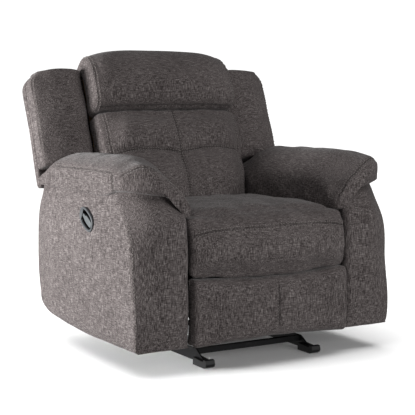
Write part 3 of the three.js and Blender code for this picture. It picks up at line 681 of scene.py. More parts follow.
def arm_outer(side):
    """The outer panel: at each height a thin ring, out along the swelling side from the rear
    edge to the front seam and back inside, carried up the arm."""
    t = np.linspace(0, 1, 150)
    z = rows_z[:, None]
    back, front = rear_f(z), seam_f(z)
    f = mix(back, front, t[None])
    tuck = 0
    for roll, edge in ((0.014, f - back), (0.005, front - f)):
        near = 1 - np.clip(edge / roll, 0, 1)
        tuck = tuck + roll * (1 - np.sqrt(np.clip(1 - near**2, 0, 1)))
    x = swell_x(f, z) - tuck - tucked_foot(z)
    inner = np.full_like(x, ARM_RIM - 0.010)
    ring = np.concatenate([np.stack([x, f], -1), np.stack([inner, f], -1)[:, ::-1]], 1)
    x, f, z = loft(ring, rows_z, 0.004, cap=2, bend=3).transpose(2, 0, 1)
    z = follow_edge(f, z) + meet_pad(x, f, z)
    return np.stack([side * x, -f, z], -1)


def arm_front(side):
    """The front panel: at each height a ring that runs from the side seam over the face, which
    stands out by a power of the distance from the seam, round the inner edge and back inside."""
    rings = []
    inner, inset, start = ARM_INNER + 0.0005, 0.022, 0.372
    turn = np.linspace(0, math.pi / 2, 10)[1:]
    for z in rows_z:
        top = float(ease(0.455, 0.547, z))
        seam_at, front = float(seam_f(z)), float(face_f(z)) - 0.001 - 0.022 * top**2
        outer = ARM_RIM + 0.001 - tucked_foot(z)
        across = outer - (outer - inner - inset) * np.linspace(0, 1, 70) ** 1.4
        fall = (front - seam_at) * np.clip((across - start) / (outer - start), 0, 1) ** 2.3
        fall = fall + 0.006 * np.clip((start - across) / (start - inner), 0, 1) ** 2
        fall = fall + 0.05 * top**2 * np.clip((0.40 - across) / 0.1, 0, 1) ** 2
        face = front - fall
        bend_x = inner + inset - inset * np.sin(turn)
        bend_f = face[-1] - inset * (1 - np.cos(turn))
        rear = np.linspace(inner, outer - 0.010, 12)
        ring = np.concatenate([np.stack([across, face], -1), np.stack([bend_x, bend_f], -1),
                               np.stack([rear, np.full(12, seam_at - 0.001)], -1)])
        rings.append(ring)
    x, f, z = loft(evened(np.array(rings), 150), rows_z, 0.005, cap=3, bend=3).transpose(2, 0, 1)
    z = z + meet_pad(x, f, z)
    return np.stack([side * x, -f, z], -1)


def arm_inner(side):
    """The inner panel: a thin ring between the front seam and the rear edge, softly crowned
    towards the seat, carried up the arm."""
    t = np.linspace(0, 1, 90)
    z = rows_z[:, None]
    f = mix(rear_f(z) + 0.0125, seam_f(z) - 0.001, t[None])
    x = ARM_INNER + 0.004 - 0.0035 * dome(t)[None] ** 0.5 + 0 * z
    back = np.full_like(x, ARM_INNER + 0.0115)
    ring = np.concatenate([np.stack([back, f], -1), np.stack([x, f], -1)[:, ::-1]], 1)
    x, f, z = loft(ring, rows_z, 0.002, cap=2, bend=2).transpose(2, 0, 1)
    return np.stack([side * x, -f, follow_edge(f, z)], -1)


PAD_FRONT, PAD_REAR, PAD_NOSE = 0.366, -0.284, 0.036
pad_tail = through([(-0.292, 0.33), (-0.275, 0.43), (-0.25, 0.57), (-0.225, 0.72), (-0.162, 0.97),
                    (-0.10, 1.0), (0.05, 1.03), (0.15, 1.05), (0.25, 1.05), (0.31, 1.02),
                    (0.366, 0.96)])
pad_controls = np.array([
    (0.4860, 0.000), (0.4945, 0.010), (0.4975, 0.038), (0.4965, 0.068), (0.4900, 0.084),
    (0.4700, 0.099), (0.4350, 0.114), (0.3950, 0.119), (0.3580, 0.110), (0.3260, 0.089),
    (0.2990, 0.056), (0.2790, 0.015), (0.2735, -0.030), (0.2770, -0.062), (0.2890, -0.0680),
    (0.2985, -0.060), (0.2995, -0.020), (0.3010, 0.000), (0.3600, 0.001), (0.4300, 0.001)])


def nose_lift(x, f):
    """How far the pad's underside, and the top of the panels under it, rise near the nose: more
    towards the outside of the arm and towards the front."""
    return 0.026 * ease(0.19, 0.36, f) * np.clip((x - 0.31) / 0.19, 0, 1)


def pad_corner(x):
    """How far the outer corner of the pad and of the panel under it is drawn back, from 0 to 1:
    a power of the distance across."""
    return np.clip((x - 0.38) / 0.117, 0, 1) ** 2.2


def round_nose(x, z, f):
    """The pad's nose: its height falls towards the inside, its lip drops in front of the panel
    and its outer corner is drawn back, by powers of the distance across."""
    above = np.maximum(z - ARM_TOP, 0)
    z = z - above * 0.72 * ease(0.22, 0.40, f) * ease(0.45, 0.28, x)
    lip = np.clip(1 - np.abs(z - ARM_TOP) / 0.03, 0, 1) * np.clip((0.365 - x) / 0.065, 0, 1)
    z = z - 0.034 * lip * ease(0.335, 0.37, f)
    f = f - 0.066 * ease(0.22, 0.40, f) * pad_corner(x)
    return x, z, f


def arm_pad(side):
    """The pad: a section across the arm, carried from its rear to its nose. Its height follows
    one curve, so it drops away under the wing behind and rolls over in front, and its underside
    lifts towards the outside near the nose. The last section shrinks over a quarter turn, more
    above its middle than below, and a shallow cap closes it."""
    places = np.concatenate([np.linspace(PAD_REAR, 0.25, 70), np.linspace(0.25, PAD_FRONT, 26)[1:]])
    high = np.maximum(pad_controls[:, 1], 0)
    f = places[:, None]
    z = ARM_TOP + np.minimum(pad_controls[:, 1], 0) + high * pad_tail(f)
    x = pad_controls[:, 0] + 0 * f
    z = z + nose_lift(x, f) * np.clip(1 - pad_controls[:, 1] / 0.07, 0, 1)
    ring = evened(rounded(np.stack([x, z], -1), 14), 190)
    rings = loft(ring, places, (0.006, 0.002), cap=12, bend=2)[:-14]
    last = rings[-1]
    middle = np.array([0.392, ARM_TOP + 0.040, PAD_FRONT])
    turn = np.linspace(0, math.pi / 2, 16)[1:, None]
    fall = 1 - np.cos(turn)
    inwards, upright = middle[0] - last[:, 0], middle[1] - last[:, 1]
    upright = upright * np.where(upright < 0, 0.26, 0.10)
    nose = np.stack([last[:, 0] + inwards * 0.10 * fall, last[:, 1] + upright * fall,
                     PAD_FRONT + PAD_NOSE * np.sin(turn) + 0 * last[:, 0]], -1)
    share = np.linspace(1, 0.03, 14)[1:, None, None]
    cap = middle * [1, 1, 0] + (nose[-1] - middle * [1, 1, 0]) * [1, 1, 0] * share
    cap[..., 2] = PAD_FRONT + PAD_NOSE + 0.010 * (1 - share[..., 0] ** 2)
    x, z, f = round_nose(*np.concatenate([rings, nose, cap]).transpose(2, 0, 1))
    return np.stack([side * x, -f, z], -1)


NOSE_SEAM = -20  # the ring of the pad, counted from the tip, that the crescent's seam follows


def crescent_line(rings):
    """The upper part of one ring of the nose, from the inner tip over the top to the outer side."""
    ring = rings[NOSE_SEAM]
    ring = ring[(ring[:, 2] > ARM_TOP - 0.035) & (np.abs(ring[:, 0]) < 0.4885)]
    above = ring[ring[:, 2] > ARM_TOP + 0.034 - 0.6 * np.maximum(0, 0.38 - np.abs(ring[:, 0]))]
    return above[np.argsort(np.abs(above[:, 0]))]


# ---------------------------------------------------------------- seat and footrest

SEAT_HALF = 0.2915


def seat_cushion():
    """The seat: a section from its rear over the crown and down the rolled nose, carried across
    the chair. Towards both sides the top falls and the nose draws back, by powers of the
    distance from the middle."""
    controls = np.array([
        (-0.079, 0.404), (-0.0795, 0.445), (-0.072, 0.484), (-0.03, 0.4945), (0.08, 0.4985),
        (0.20, 0.5010), (0.30, 0.5010), (0.365, 0.4975), (0.405, 0.489), (0.433, 0.472),
        (0.4465, 0.452), (0.4520, 0.420), (0.4540, 0.385), (0.4520, 0.350), (0.4440, 0.325),
        (0.4290, 0.3040), (0.4100, 0.3040), (0.3955, 0.320), (0.3940, 0.365), (0.3900, 0.4025),
        (0.30, 0.4025), (0.12, 0.4025), (0.0, 0.4025)])
    x = np.linspace(-SEAT_HALF + 0.014, SEAT_HALF - 0.014, 120)
    s = np.abs(x[:, None]) / SEAT_HALF
    f, z = controls[:, 0] + 0 * s, controls[:, 1] + 0 * s
    top = np.clip((z - 0.402) / 0.1, 0, 1)
    z = z - 0.014 * s**5 * top - 0.004 * s**2 * top
    f = f - 0.022 * s**3 * ease(0.40, 0.43, f)
    z = z - 0.017 * (1 - s**2) * ease(0.40, 0.33, z)
    ring = evened(rounded(np.stack([f, z], -1), 14), 260)
    rings = loft(ring, x, 0.014, cap=8, bend=5)
    return np.stack([rings[..., 2], -rings[..., 0], rings[..., 1]], -1)


def footrest_pad():
    """The footrest pad: a section with a crowned front, carried across the chair; the crown and
    the height of the lower edge are domes of the distance across."""
    x = np.linspace(-0.279, 0.279, 110)
    a = ((x + 0.290) / 0.580)[:, None]
    low = 0.083 + 0.013 * dome(a)
    crown = mix(0.036, 0.0605, dome(a) ** 0.8)
    t = np.array([(0, 0.05), (0.30, 0.0), (0.62, 0.012), (0.86, 0.07), (0.97, 0.22), (1.0, 0.45),
                  (0.99, 0.70), (0.93, 0.86), (0.80, 0.955), (0.55, 0.995), (0.25, 1.0), (0, 1.0),
                  (-0.26, 0.99), (-0.288, 0.9), (-0.29, 0.6), (-0.29, 0.3), (-0.288, 0.06),
                  (-0.25, 0.01)])
    f = 0.4118 + np.where(t[:, 0] < 0, 0.0605, crown) * t[:, 0]
    z = mix(low, 0.2995 - 0.012 * dome(a), t[:, 1])
    ring = evened(rounded(np.stack([f, z], -1), 14), 170)
    rings = loft(ring, x, 0.012, cap=6, bend=5)
    return np.stack([rings[..., 2], -rings[..., 0], rings[..., 1]], -1)


# ---------------------------------------------------------------- back

# the outer top corner of the back: a quarter circle of the radius about its middle (x, q)
CORNER, CORNER_X, CORNER_Q = 0.060, 0.430, 0.630
BACK_SIDE, BACK_TOP = CORNER_X + CORNER, CORNER_Q + CORNER
lumbar_p = through([(0.085, -0.078), (0.105, -0.099), (0.150, -0.117), (0.193, -0.124),
                    (0.250, -0.125), (0.290, -0.119), (0.320, -0.111), (0.342, -0.108),
                    (0.372, -0.111), (0.422, -0.112), (0.462, -0.106), (0.506, -0.094)])


def tuft_q(x):
    """Height of the tufted seam across the lumbar cushion: two arches that meet in a dip."""
    return 0.337 + 0.016 * np.sin(np.clip(np.abs(x) / 0.285, 0, 1) * math.pi) ** 0.8


def lumbar_cushion():
    """The lumbar cushion: at each place across, a section up the back whose front follows one
    curve of q. The front swells between the side seams, the tufted seam and the middle seam."""
    x = np.linspace(-0.268, 0.268, 130)
    q = np.linspace(0.089, 0.504, 120)
    grid_x, grid_q = np.meshgrid(x, q, indexing="ij")
    shift = np.interp(grid_q, [0.085, 0.34, 0.502], [0, 1, 0]) * (tuft_q(grid_x) - 0.342)
    p = lumbar_p(grid_q - shift)
    side = np.abs(grid_x) / 0.285
    cell = np.sin(np.clip(side, 0, 1) * math.pi) ** 0.6
    gap = np.abs(grid_q - tuft_q(grid_x))
    puff = cell * np.sqrt(np.clip(gap / 0.09, 0, 1)) * ease(0, 0.06, 0.53 - grid_q)
    p = p - 0.006 * puff + 0.046 * side**6
    back = np.full((len(x), 60), 0.0112)
    back_q = np.broadcast_to(np.linspace(0.504, 0.089, 60), back.shape)
    ring = np.concatenate([np.stack([p, grid_q], -1), np.stack([back, back_q], -1)], 1)
    ring = evened(ring, 300)
    for _ in range(3):
        ring = (np.roll(ring, 1, 1) + 2 * ring + np.roll(ring, -1, 1)) / 4
    rings = loft(ring, x, 0.012, cap=6, bend=5)
    half = np.interp(rings[..., 1], [0.13, 0.38], [0.248, 0.287]) / 0.280
    return leaned(rings[..., 2] * half, rings[..., 0], rings[..., 1])


def headrest_cushion():
    """The headrest: a fat roll whose front overhangs the lumbar cushion, carried across the back
    and drawn in towards its side panels."""
    controls = np.array([
        (0.0110, 0.512), (-0.030, 0.5105), (-0.066, 0.513), (-0.092, 0.524), (-0.109, 0.548),
        (-0.1155, 0.585), (-0.1135, 0.625), (-0.105, 0.663), (-0.092, 0.697), (-0.077, 0.725),
        (-0.054, 0.749), (-0.020, 0.7605), (0.018, 0.755), (0.046, 0.738), (0.058, 0.718),
        (0.059, 0.699), (0.040, 0.6975), (0.0115, 0.684), (0.0115, 0.60)])
    x = np.linspace(-0.266, 0.266, 130)
    s = (np.abs(x) / 0.29)[:, None]
    p, q = controls[:, 0] + 0 * s, controls[:, 1] + 0 * s
    front = np.clip(-p / 0.115, 0, 1)
    p = p + 0.020 * s**5 * front
    q = q - 0.036 * s**4 * ease(0.62, 0.76, q)
    q = q + 0.004 * (1 - s**2) * (q < 0.53)
    ring = evened(rounded(np.stack([p, q], -1), 12), 240)
    rings = loft(ring, x, 0.024, cap=8, bend=9)
    return leaned(rings[..., 2], rings[..., 0], rings[..., 1])


def back_wing(side):
    """A wing: at each height a ring with a convex front, a flat outer side and a flat rear, carried
    up the back. Its inner edge follows the headrest and its outer top corner is a quarter circle."""
    q = np.linspace(0.346, 0.678, 110)[:, None]
    c = (q - 0.338) / (BACK_TOP - 0.338)
    inner = 0.2925 + 0 * c
    over = np.clip(q - CORNER_Q, 0, CORNER - 0.0005)
    outer = CORNER_X + np.sqrt(CORNER**2 - over**2) - 0.0005
    swell = 0.6 + 0.4 * np.sqrt(np.clip(dome(c * 0.94 + 0.03), 0, 1))
    shape = np.array([(0, 0.70), (0.0, 0.28), (0.05, 0.08), (0.22, -0.10), (0.45, -0.16),
                      (0.66, -0.11), (0.82, 0.02), (0.93, 0.14), (0.985, 0.28), (1.0, 0.60),
                      (0.99, 0.96), (0.75, 1.0), (0.25, 1.0), (0.01, 0.96)])
    x = mix(inner, outer, shape[:, 0])
    p = mix(-0.014 - 0.004 * swell, 0.0512, shape[:, 1])
    ring = evened(rounded(np.stack([x, p], -1), 14), 170)
    rings = loft(ring, q[:, 0], 0.012, cap=6, bend=5)
    return leaned(side * rings[..., 0], rings[..., 1], rings[..., 2])


def rear_panel():
    """The outside back: its outline is carried through its thickness with rounded edges, and its
    rear face is crowned by the distance from the outline."""
    turn = np.radians(np.linspace(0, 90, 14))
    corner = np.stack([CORNER_X + CORNER * np.cos(turn), CORNER_Q + CORNER * np.sin(turn)], 1)
    right = np.concatenate([
        [(0.269, 0.066), (0.270, 0.150), (0.270, 0.262), (0.278, 0.275), (0.38, 0.276),
         (BACK_SIDE - 0.006, 0.276), (BACK_SIDE, 0.284), (BACK_SIDE, 0.45)],
        corner, [(0.2, BACK_TOP)]])
    outline = np.concatenate([right, right[::-1] * [-1, 1]])
    outline = np.roll(outline, 1, 0)
    ring = evened(outline[None], 420)[0]
    depth = np.linspace(0.0605, 0.0775, 5)
    rings = loft(np.repeat(ring[None], 5, 0), depth, 0.008, cap=34, bend=5)
    middle = ring.mean(0)
    reach = np.linalg.norm(rings[..., :2] - middle, axis=2)
    edge = np.linalg.norm(ring - middle, axis=1)[None]
    crown = 0.0022 * (1 - (reach / edge) ** 4) * (rings[..., 2] > 0.08)
    return leaned(rings[..., 0], rings[..., 2] + crown, rings[..., 1])


def rear_skirt():
    """The board under the back: a rounded rectangle carried through its thickness."""
    low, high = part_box("rear_skirt")
    x, z = high[0] - 0.001, (low[2] + 0.001, high[2] - 0.001)
    outline = [(-x, z[0]), (x, z[0]), (x, z[1]), (-x, z[1])]
    ring = evened(np.array([outline]), 300)[0]
    rings = loft(np.repeat(ring[None], 4, 0), np.linspace(low[1] + 0.003, high[1] - 0.004, 4),
                 0.003, cap=24, bend=4)
    return np.stack([rings[..., 0], rings[..., 2], rings[..., 1]], -1)


# ---------------------------------------------------------------- lines on the skins


def line(xs, make):
    """A line of points from a function of a row of numbers."""
    return np.stack(np.broadcast_arrays(*make(np.asarray(xs, float))), -1)


def double(path, gap=0.0055):
    """Two rows of stitches, the gap to each side of a line."""
    return [(path, gap), (path, -gap)]


def build(name, points, waves, cap=0, lines=()):
    """A soft piece from its rings. A loose cushion, which has a cap, is inflated between its
    sewn lines. Then both kinds are rumpled."""
    piece = tube_of(name, points)
    if cap:
        inflate(piece, lines, cap)
    rumple(piece, *waves)
    return piece


def finish_piece(piece, body, nodes_replaced):
    """Puts a piece of cloth in the place of nodes of the frame: dresses it in the upholstery and
    hides the nodes.
    """
    dress(piece, body, "upholstery")
    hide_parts(*nodes_replaced)
    return piece


def sew(piece, body, seams):
    """Sinks the seams of (line, settings, stitched) into the piece, then lays its stitches."""
    rows = []
    for path, settings, stitched in seams:
        seam(piece, path, **settings)
        rows += stitched
    if rows:
        stitches = stitch_rows(piece.name + "_stitching", piece, rows)
        dress(stitches, body, "upholstery", thread)


PANEL_SEAM = {"depth": 0.003, "width": 0.0045, "pucker": 0.0006}
PAD_SEAM = {"depth": 0.0035, "width": 0.005, "pucker": 0.0010}
EDGE_SEAM = {"depth": 0.0, "pucker": 0.0007}  # along a panel's own edge, where nothing sinks


# ---------------------------------------------------------------- the upholstered pieces


def make_arm(side, word):
    """One arm: its outer, front and inner panels and the pad, with their seams."""
    outer = build(f"arm_outer_{word}", arm_outer(side), (0.0008, 0.16, 3))
    z = np.linspace(0.086, 0.543, 80)
    edge = line(z, lambda z: (side * (ARM_RIM - 0.001), -(seam_f(z) - 0.009), z))
    sew(outer, "carrier", [(edge, EDGE_SEAM, [(edge, 0.0)])])

    front = build(f"arm_front_{word}", arm_front(side), (0.0008, 0.12, 5))
    near = line(z, lambda z: (side * (ARM_RIM - 0.001), -(seam_f(z) + 0.006), z))
    # brow: a deep line sunk along the front panel's top under the pad's nose, with painted shade
    # along it for the shadow gap under the pad
    brow = line(np.linspace(0.32, 0.494, 50), lambda x: (
        side * x, -(0.392 - 0.075 * pad_corner(x)), ARM_TOP - 0.008 + nose_lift(x, 0.36)))
    under_pad = {"depth": 0.006, "width": 0.009, "pucker": 0.0005}
    sew(front, "carrier", [(near, EDGE_SEAM, [(near, 0.0)]), (brow, under_pad, [])])

    inner = build(f"arm_inside_{word}", arm_inner(side), (0.0006, 0.1, 7))

    pad_rings = arm_pad(side)
    pad = build(f"arm_pillow_{word}", pad_rings, (0.0010, 0.085, 9))
    f = np.linspace(-0.16, 0.29, 90)
    rise = line(f, lambda f: (side * 0.497, -f, ARM_TOP + 0.076 * pad_tail(f)))
    below = line(f, lambda f: (side * 0.4975, -f, ARM_TOP + 0.040 * pad_tail(f)))
    corner = line(np.linspace(0.004, 0.074, 20), lambda h: (
        side * 0.497, -0.292 + 0 * h, ARM_TOP + 0.012 + h))
    crescent = crescent_line(pad_rings)
    sew(pad, "carrier", [(rise, PAD_SEAM, double(rise)),
                         (crescent, PAD_SEAM, double(crescent)),
                         (below, dict(PAD_SEAM, depth=0.0008), [(below, 0.0)]),
                         (corner, PAD_SEAM, double(corner))])

    finish_piece(outer, "carrier", [f"arm_outer_panel_{word}"])
    finish_piece(front, "carrier", [f"arm_front_panel_{word}"])
    finish_piece(inner, "carrier", [f"arm_inner_panel_{word}"])
    finish_piece(pad, "carrier", [f"arm_pad_{word}"])


def make_seat():
    """The seat cushion, with a topstitched seam along its lip and a faint one under it."""
    x = np.linspace(-0.287, 0.287, 120)
    share = np.abs(x / 0.29)
    lip = line(x, lambda x: (x, -(0.449 - 0.022 * share**3), 0.451 - 0.020 * share**4))
    chin = line(x, lambda x: (x, -(0.452 - 0.022 * share**3), 0.349 + 0 * x))
    seat = build("seat_pillow", seat_cushion(), (0.0016, 0.11, 11), 0.012, [lip])
    sew(seat, "seat", [(lip, {"depth": 0.0035, "width": 0.005, "pucker": 0.0009}, double(lip)),
                       (chin, {"depth": 0.0015, "width": 0.006, "pucker": 0.0005}, [])])
    finish_piece(seat, "seat", ["seat_cushion"])


def make_footrest():
    """The footrest pad, with one upright seam in its middle."""
    footrest = build("footrest_pillow", footrest_pad(), (0.0012, 0.11, 13))
    middle = line(np.linspace(0.10, 0.296, 60), lambda z: (0 * z, -0.474 + 0 * z, z))
    upright = {"depth": 0.004, "width": 0.006, "pucker": 0.0010}
    sew(footrest, "footrest", [(middle, upright, [(middle, 0.006)])])
    finish_piece(footrest, "footrest", ["footrest_pad", "footrest_board"])


def make_lumbar():
    """The lumbar cushion, with its tufted seam, its spine and the seams of its side panels."""
    x = np.linspace(-0.262, 0.262, 110)
    tuft = leaned(x, -0.110 + 0.036 * np.abs(x / 0.285) ** 6, tuft_q(x))
    q = np.linspace(0.10, 0.50, 90)
    spine = leaned(0 * q, lumbar_p(q) - 0.001, q)
    cheek = [leaned(side * np.interp(q, [0.13, 0.38], [0.226, 0.262]), lumbar_p(q) + 0.026, q)
             for side in (-1, 1)]
    lumbar = build("lumbar_pillow", lumbar_cushion(), (0.0010, 0.09, 15), 0.011,
                   [tuft, spine, *cheek])
    tufted = {"depth": 0.0045, "width": 0.006, "pucker": 0.0014, "pitch": 0.022}
    sew(lumbar, "back", [
        (tuft, tufted, double(tuft)),
        (spine, {"depth": 0.0038, "width": 0.005, "pucker": 0.0010}, double(spine)),
        *[(path, dict(PANEL_SEAM, pucker=0.0010), double(path)) for path in cheek]])
    finish_piece(lumbar, "back", ["lumbar_cushion"])


# each gather of the headrest: x and q where it starts, x and q where it ends, and its height
GATHERS = [
    (-0.262, 0.715, -0.235, 0.700, 0.0016), (-0.264, 0.690, -0.228, 0.668, 0.0020),
    (-0.264, 0.660, -0.232, 0.640, 0.0016), (-0.262, 0.560, -0.205, 0.640, -0.0030),
    (-0.255, 0.545, -0.215, 0.600, 0.0022), (-0.225, 0.530, -0.200, 0.565, 0.0018),
    (-0.190, 0.526, -0.175, 0.556, 0.0016), (-0.150, 0.524, -0.140, 0.552, -0.0016),
    (-0.105, 0.524, -0.098, 0.548, 0.0014), (0.262, 0.690, 0.232, 0.672, 0.0016),
    (0.260, 0.560, 0.225, 0.600, 0.0018), (0.190, 0.526, 0.178, 0.552, 0.0014)]
GATHER_WIDTH = 0.0055


def make_headrest():
    """The headrest, with a seam round each end panel, the gathers that run in from them and the
    line under its overhang."""
    t = np.linspace(0, 1, 80)
    head_p = through([(0, -0.050), (0.15, -0.082), (0.4, -0.094), (0.7, -0.080), (0.9, -0.045),
                      (1, 0.0)])(t)
    head_q = through([(0, 0.516), (0.15, 0.535), (0.4, 0.61), (0.7, 0.695), (0.9, 0.735),
                      (1, 0.742)])(t)
    ears = [leaned(side * 0.277 + 0 * t, head_p, head_q) for side in (-1, 1)]
    head = build("headrest_pillow", headrest_cushion(), (0.0006, 0.12, 17), 0.010, ears)
    run = np.linspace(0, 1, 12)
    for x0, q0, x1, q1, high in GATHERS:
        q = mix(q0, q1, run)
        p = np.interp(q, [0.52, 0.545, 0.585, 0.663, 0.72],
                      [-0.088, -0.107, -0.114, -0.104, -0.080])
        fold(head, leaned(mix(x0, x1, run), p, q), high, GATHER_WIDTH)
    x = np.linspace(-0.27, 0.27, 100)
    # the line under the overhang: a sunk line darkened with painted shade, for the shadow beneath the
    # headrest's front
    under = leaned(x, -0.086 + 0.02 * np.abs(x / 0.29) ** 5, 0.521 + 0 * x)
    gathered = dict(PANEL_SEAM, pucker=0.0018, pitch=0.020)
    sew(head, "back", [*[(path, gathered, double(path)) for path in ears],
                       (under, dict(PANEL_SEAM, pucker=0.0014), [])])
    finish_piece(head, "back", ["headrest_cushion"])


def make_wing(side, word):
    """A wing, with a double seam along its outer edge and round the top corner."""
    wing = build(f"wing_{word}", back_wing(side), (0.0012, 0.1, 19))
    q = np.linspace(0.350, 0.668, 80)
    over = np.clip(q - CORNER_Q, 0, CORNER - 0.001)
    edge = CORNER_X + np.sqrt(CORNER**2 - over**2) - 0.002
    rim = leaned(side * edge, -0.006 + 0 * q, q)
    sew(wing, "back", [(rim, dict(PANEL_SEAM, pucker=0.0009), double(rim))])
    finish_piece(wing, "back", [f"back_wing_{word}"])


SIDES = ((1, "left"), (-1, "right"))
for side, word in SIDES:
    make_arm(side, word)
make_seat()
make_footrest()
make_lumbar()
make_headrest()
for side, word in SIDES:
    make_wing(side, word)
panel = build("outside_back", rear_panel(), (0.0008, 0.2, 21))
finish_piece(panel, "back", ["back_rear_panel"])
skirt = build("rear_board_cover", rear_skirt(), (0.0004, 0.15, 23))
finish_piece(skirt, "carrier", ["rear_skirt"])

# ---------------------------------------------------------------- release handle

CUP = np.array([0.051, 0.032])  # half the bezel's length and height
FACE_X, CUP_DEPTH = 0.4975, 0.0315
LEVER_BACK, LEVER_FACE = 0.4892, 0.4944  # how far out the lever's two faces stand


def on_side(along, across, x):
    """Points on the sitter's right side from distances towards the rear and up along the tilted
    oval, and the distance out."""
    c, t = math.cos(RELEASE_TILT), math.sin(RELEASE_TILT)
    f = RELEASE_AT[0] - along * c - across * t
    z = RELEASE_AT[1] - along * t + across * c
    return np.stack(np.broadcast_arrays(-x, -f, z), -1)


def cup_rings(rows, fatness=2.5, count=96):
    """Rings round the bezel's outline, a superellipse of that power, each drawn in by an inset and
    placed at a distance out from the panel."""
    turn = np.linspace(0, 2 * math.pi, count, endpoint=False)
    c, t = np.cos(turn), np.sin(turn)
    shape = np.stack([np.sign(c) * np.abs(c) ** (2 / fatness),
                      np.sign(t) * np.abs(t) ** (2 / fatness)], 1)
    inset, out = np.array(rows, float).T[:, :, None]
    half = CUP - np.minimum(inset, CUP.min() - 0.0004)[..., None]
    oval = shape[None] * half
    return on_side(oval[..., 0], oval[..., 1], FACE_X + out)


def bezel():
    """The bezel: a rounded profile of insets and heights carried round the outline."""
    rows = [(0, -0.006), (0, -0.0006), (0.0007, 0.0012), (0.0025, 0.0021), (0.0050, 0.0022),
            (0.0070, 0.0014), (0.0079, -0.0004), (0.0081, -0.0060)]
    rings = cup_rings(rows)
    n, m = rings.shape[:2]
    i, j = np.meshgrid(np.arange(n), np.arange(m), indexing="ij")
    a, b = i * m + j, i * m + (j + 1) % m
    c, d = (i + 1) % n * m + (j + 1) % m, (i + 1) % n * m + j
    faces = np.stack([a, b, c, d], -1).reshape(-1, 4).tolist()
    piece = put("release_bezel", rings.reshape(-1, 3), faces)
    face_out(piece)
    return piece


def dish():
    """The black cup behind the bezel: an inner wall and floor, a rim and an outer wall and floor."""
    inner, outer = 0.0094, 0.0078
    middle, halfway = 0.031, 0.020
    floor_in, floor_out = 0.003 - CUP_DEPTH, 0.001 - CUP_DEPTH
    rows = [(middle, floor_in), (halfway, floor_in), (inner + 0.004, floor_in),
            (inner + 0.001, floor_in + 0.002), (inner, floor_in + 0.006), (inner, -0.002),
            (inner - 0.0006, -0.0012), (outer, -0.0016), (outer, floor_out + 0.001),
            (outer + 0.001, floor_out), (halfway, floor_out), (middle, floor_out)]
    return tube_of("release_cup", cup_rings(rows))


def lever():
    """The lever: a hooked outline carried through its thickness with rounded edges."""
    outline = np.array([(-0.037, -0.004), (-0.034, 0.006), (-0.024, 0.0095), (-0.006, 0.0105),
                        (0.006, 0.0100), (0.012, 0.0060), (0.026, 0.0050), (0.034, 0.0030),
                        (0.036, -0.0015), (0.033, -0.0055), (0.016, -0.0080), (0.006, -0.0115),
                        (-0.012, -0.0130), (-0.028, -0.0125), (-0.035, -0.010)])
    ring = evened(rounded(outline[None], 10), 110)
    out = np.linspace(LEVER_BACK, LEVER_FACE, 5)
    rings = loft(np.repeat(ring, 5, 0), out, 0.0021, cap=8, bend=5)
    reach = np.linalg.norm(rings[..., :2], axis=2) / 0.036
    lift = np.where(rings[..., 2] > LEVER_FACE, 0.0006 * (1 - np.clip(reach, 0, 1) ** 2), 0)
    return tube_of("release_lever", on_side(rings[..., 0], rings[..., 1], rings[..., 2] + lift))


def plate():
    """The flat rear part of the bezel, over the lever's pin: the outline drawn in and cut off
    straight across, carried through its thickness."""
    turn = np.linspace(0, 2 * math.pi, 96, endpoint=False)
    c, t = np.cos(turn), np.sin(turn)
    half = CUP - 0.0066
    along = np.sign(c) * np.abs(c) ** 0.8 * half[0]
    across = np.sign(t) * np.abs(t) ** 0.8 * half[1]
    cut = 0.030 + 0.003 * (across / half[1]) ** 2
    ring = evened(np.stack([np.maximum(along, cut), across], -1)[None], 120)
    out = np.linspace(FACE_X - 0.0001, FACE_X + 0.0009, 3)
    rings = loft(np.repeat(ring, 3, 0), out, 0.0005, cap=10, bend=3)
    return tube_of("release_bezel_plate", on_side(rings[..., 0], rings[..., 1], rings[..., 2]))


def cut_out(piece, cutter):
    """Takes the cutter's solid out of the piece."""
    step = piece.modifiers.new("cut", "BOOLEAN")
    step.operation, step.object, step.solver = "DIFFERENCE", cutter, "EXACT"
    apply_modifiers(piece)
    bpy.data.objects.remove(cutter)


plug = tube_of("cup_hole", cup_rings([(0.0032, -0.05), (0.0032, 0.02)]))
cut_out(bpy.data.objects["arm_outer_right"], plug)
bezel_piece = dress(bezel(), "carrier", "bezel_plastic")
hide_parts("handle_bezel")
dress(plate(), "carrier", "bezel_plastic")
dress(dish(), "carrier", "foot_plastic")
lever_piece = dress(lever(), "handle", "lever_plastic")
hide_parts("handle_lever")

# ---------------------------------------------------------------- the frame's own pieces

# what a piece of the frame is made of, or the painted shade that it takes, by the first of these
# words that its name holds
MADE_OF = [("spring", "spring_steel"), ("foot_cap", "foot_plastic"), ("bezel", "bezel_plastic"),
           ("lever", "lever_plastic"), ("cable", "cable_sheath"), ("seat_rail_front", "gap_shade"),
           ("carrier_rail_front", "gap_shade"), ("rail", "timber"), ("post", "timber"),
           ("board", "timber")]


def finish_of(name):
    """The finish of a piece of the frame; what no word names is black steel."""
    return next((finish for word, finish in MADE_OF if word in name), "black_steel")


for name, node in nodes.items():
    if node.hide_render:
        continue
    node.data.materials.clear()
    node.data.materials.append(finishes[finish_of(name)])

# ---------------------------------------------------------------- floor, light and camera


def make_floor():
    """A pale, matt studio floor."""
    f = Finish("studio_floor", Roughness=0.6, Base_Color=(0.9, 0.9, 0.9, 1.0),
               Emission_Color=(1.0, 1.0, 1.0, 1.0), Emission_Strength=0.07)
    return f.material


def studio_floor():
    """A flat square sheet."""
    reach = 60.0
    corner = [(-reach, -reach, 0), (reach, -reach, 0), (reach, reach, 0), (-reach, reach, 0)]
    return put("studio_floor", np.array(corner), [[0, 1, 2, 3]], smooth=False)


floor = studio_floor()
floor.data.materials.append(make_floor())
floor.visible_diffuse = floor.visible_glossy = False


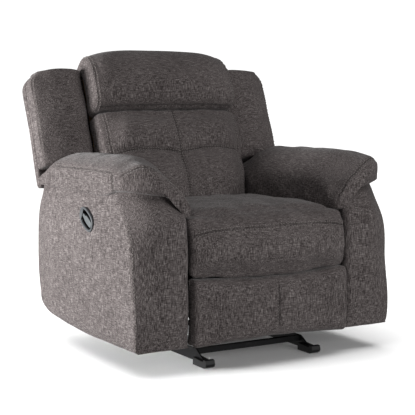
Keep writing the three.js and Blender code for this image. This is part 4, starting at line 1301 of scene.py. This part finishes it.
def area_light(name, place, target, size, power):
    """A white rectangular lamp that faces its target."""
    lamp = bpy.data.lights.new(name, "AREA")
    lamp.shape, lamp.size, lamp.size_y = "RECTANGLE", size[0], size[1]
    lamp.energy = power
    light = bpy.data.objects.new(name, lamp)
    light.location = place
    light.rotation_euler = (Vector(target) - Vector(place)).to_track_quat("-Z", "Y").to_euler()
    bpy.context.scene.collection.objects.link(light)


area_light("key", (-4.1, 1.15, 0.62), (0, 0, 0.5), (1.8, 1.25), 246)
area_light("front_fill", (0.9, -5.0, 1.7), (0, 0, 0.6), (3.0, 2.0), 78)
area_light("top", (0, -0.3, 4.5), (0, 0, 0), (3.5, 3.5), 4)

sun = bpy.data.lights.new("floor_wash", "SUN")
sun.energy, sun.angle = 3.9, math.radians(75)
wash = bpy.data.objects.new("floor_wash", sun)
wash.rotation_euler = Vector((0.10, -0.12, -1)).to_track_quat("-Z", "Y").to_euler()
bpy.context.scene.collection.objects.link(wash)
only_floor = bpy.data.collections.new("floor_only")
only_floor.objects.link(floor)
wash.light_linking.receiver_collection = only_floor

world = bpy.data.worlds.new("studio")
world.use_nodes = True
world.node_tree.nodes["Background"].inputs["Color"].default_value = (1, 1, 1, 1)
ambient = world.node_tree.nodes["Background"].inputs["Strength"]
eye = world.node_tree.nodes.new("ShaderNodeLightPath")
level = world.node_tree.nodes.new("ShaderNodeMapRange")
LIT, SEEN = 0.17, 1.1  # the room's strength as light on the chair, and as the camera sees it
level.inputs["To Min"].default_value, level.inputs["To Max"].default_value = LIT, SEEN
world.node_tree.links.new(eye.outputs["Is Camera Ray"], level.inputs["Value"])
world.node_tree.links.new(level.outputs["Result"], ambient)
bpy.context.scene.world = world
bpy.context.scene.view_settings.view_transform = "Standard"

CAMERA_AT, CAMERA_WAY = (-2.0253, -3.4638, 0.8861), (0.50446, 0.85716, -0.10388)
camera_data = bpy.data.cameras.new("camera")
camera_data.lens, camera_data.sensor_width = 100.1, 36.0
camera = bpy.data.objects.new("camera", camera_data)
camera.location = CAMERA_AT
camera.rotation_euler = Vector(CAMERA_WAY).to_track_quat("-Z", "Y").to_euler()
bpy.context.scene.collection.objects.link(camera)
bpy.context.scene.camera = camera
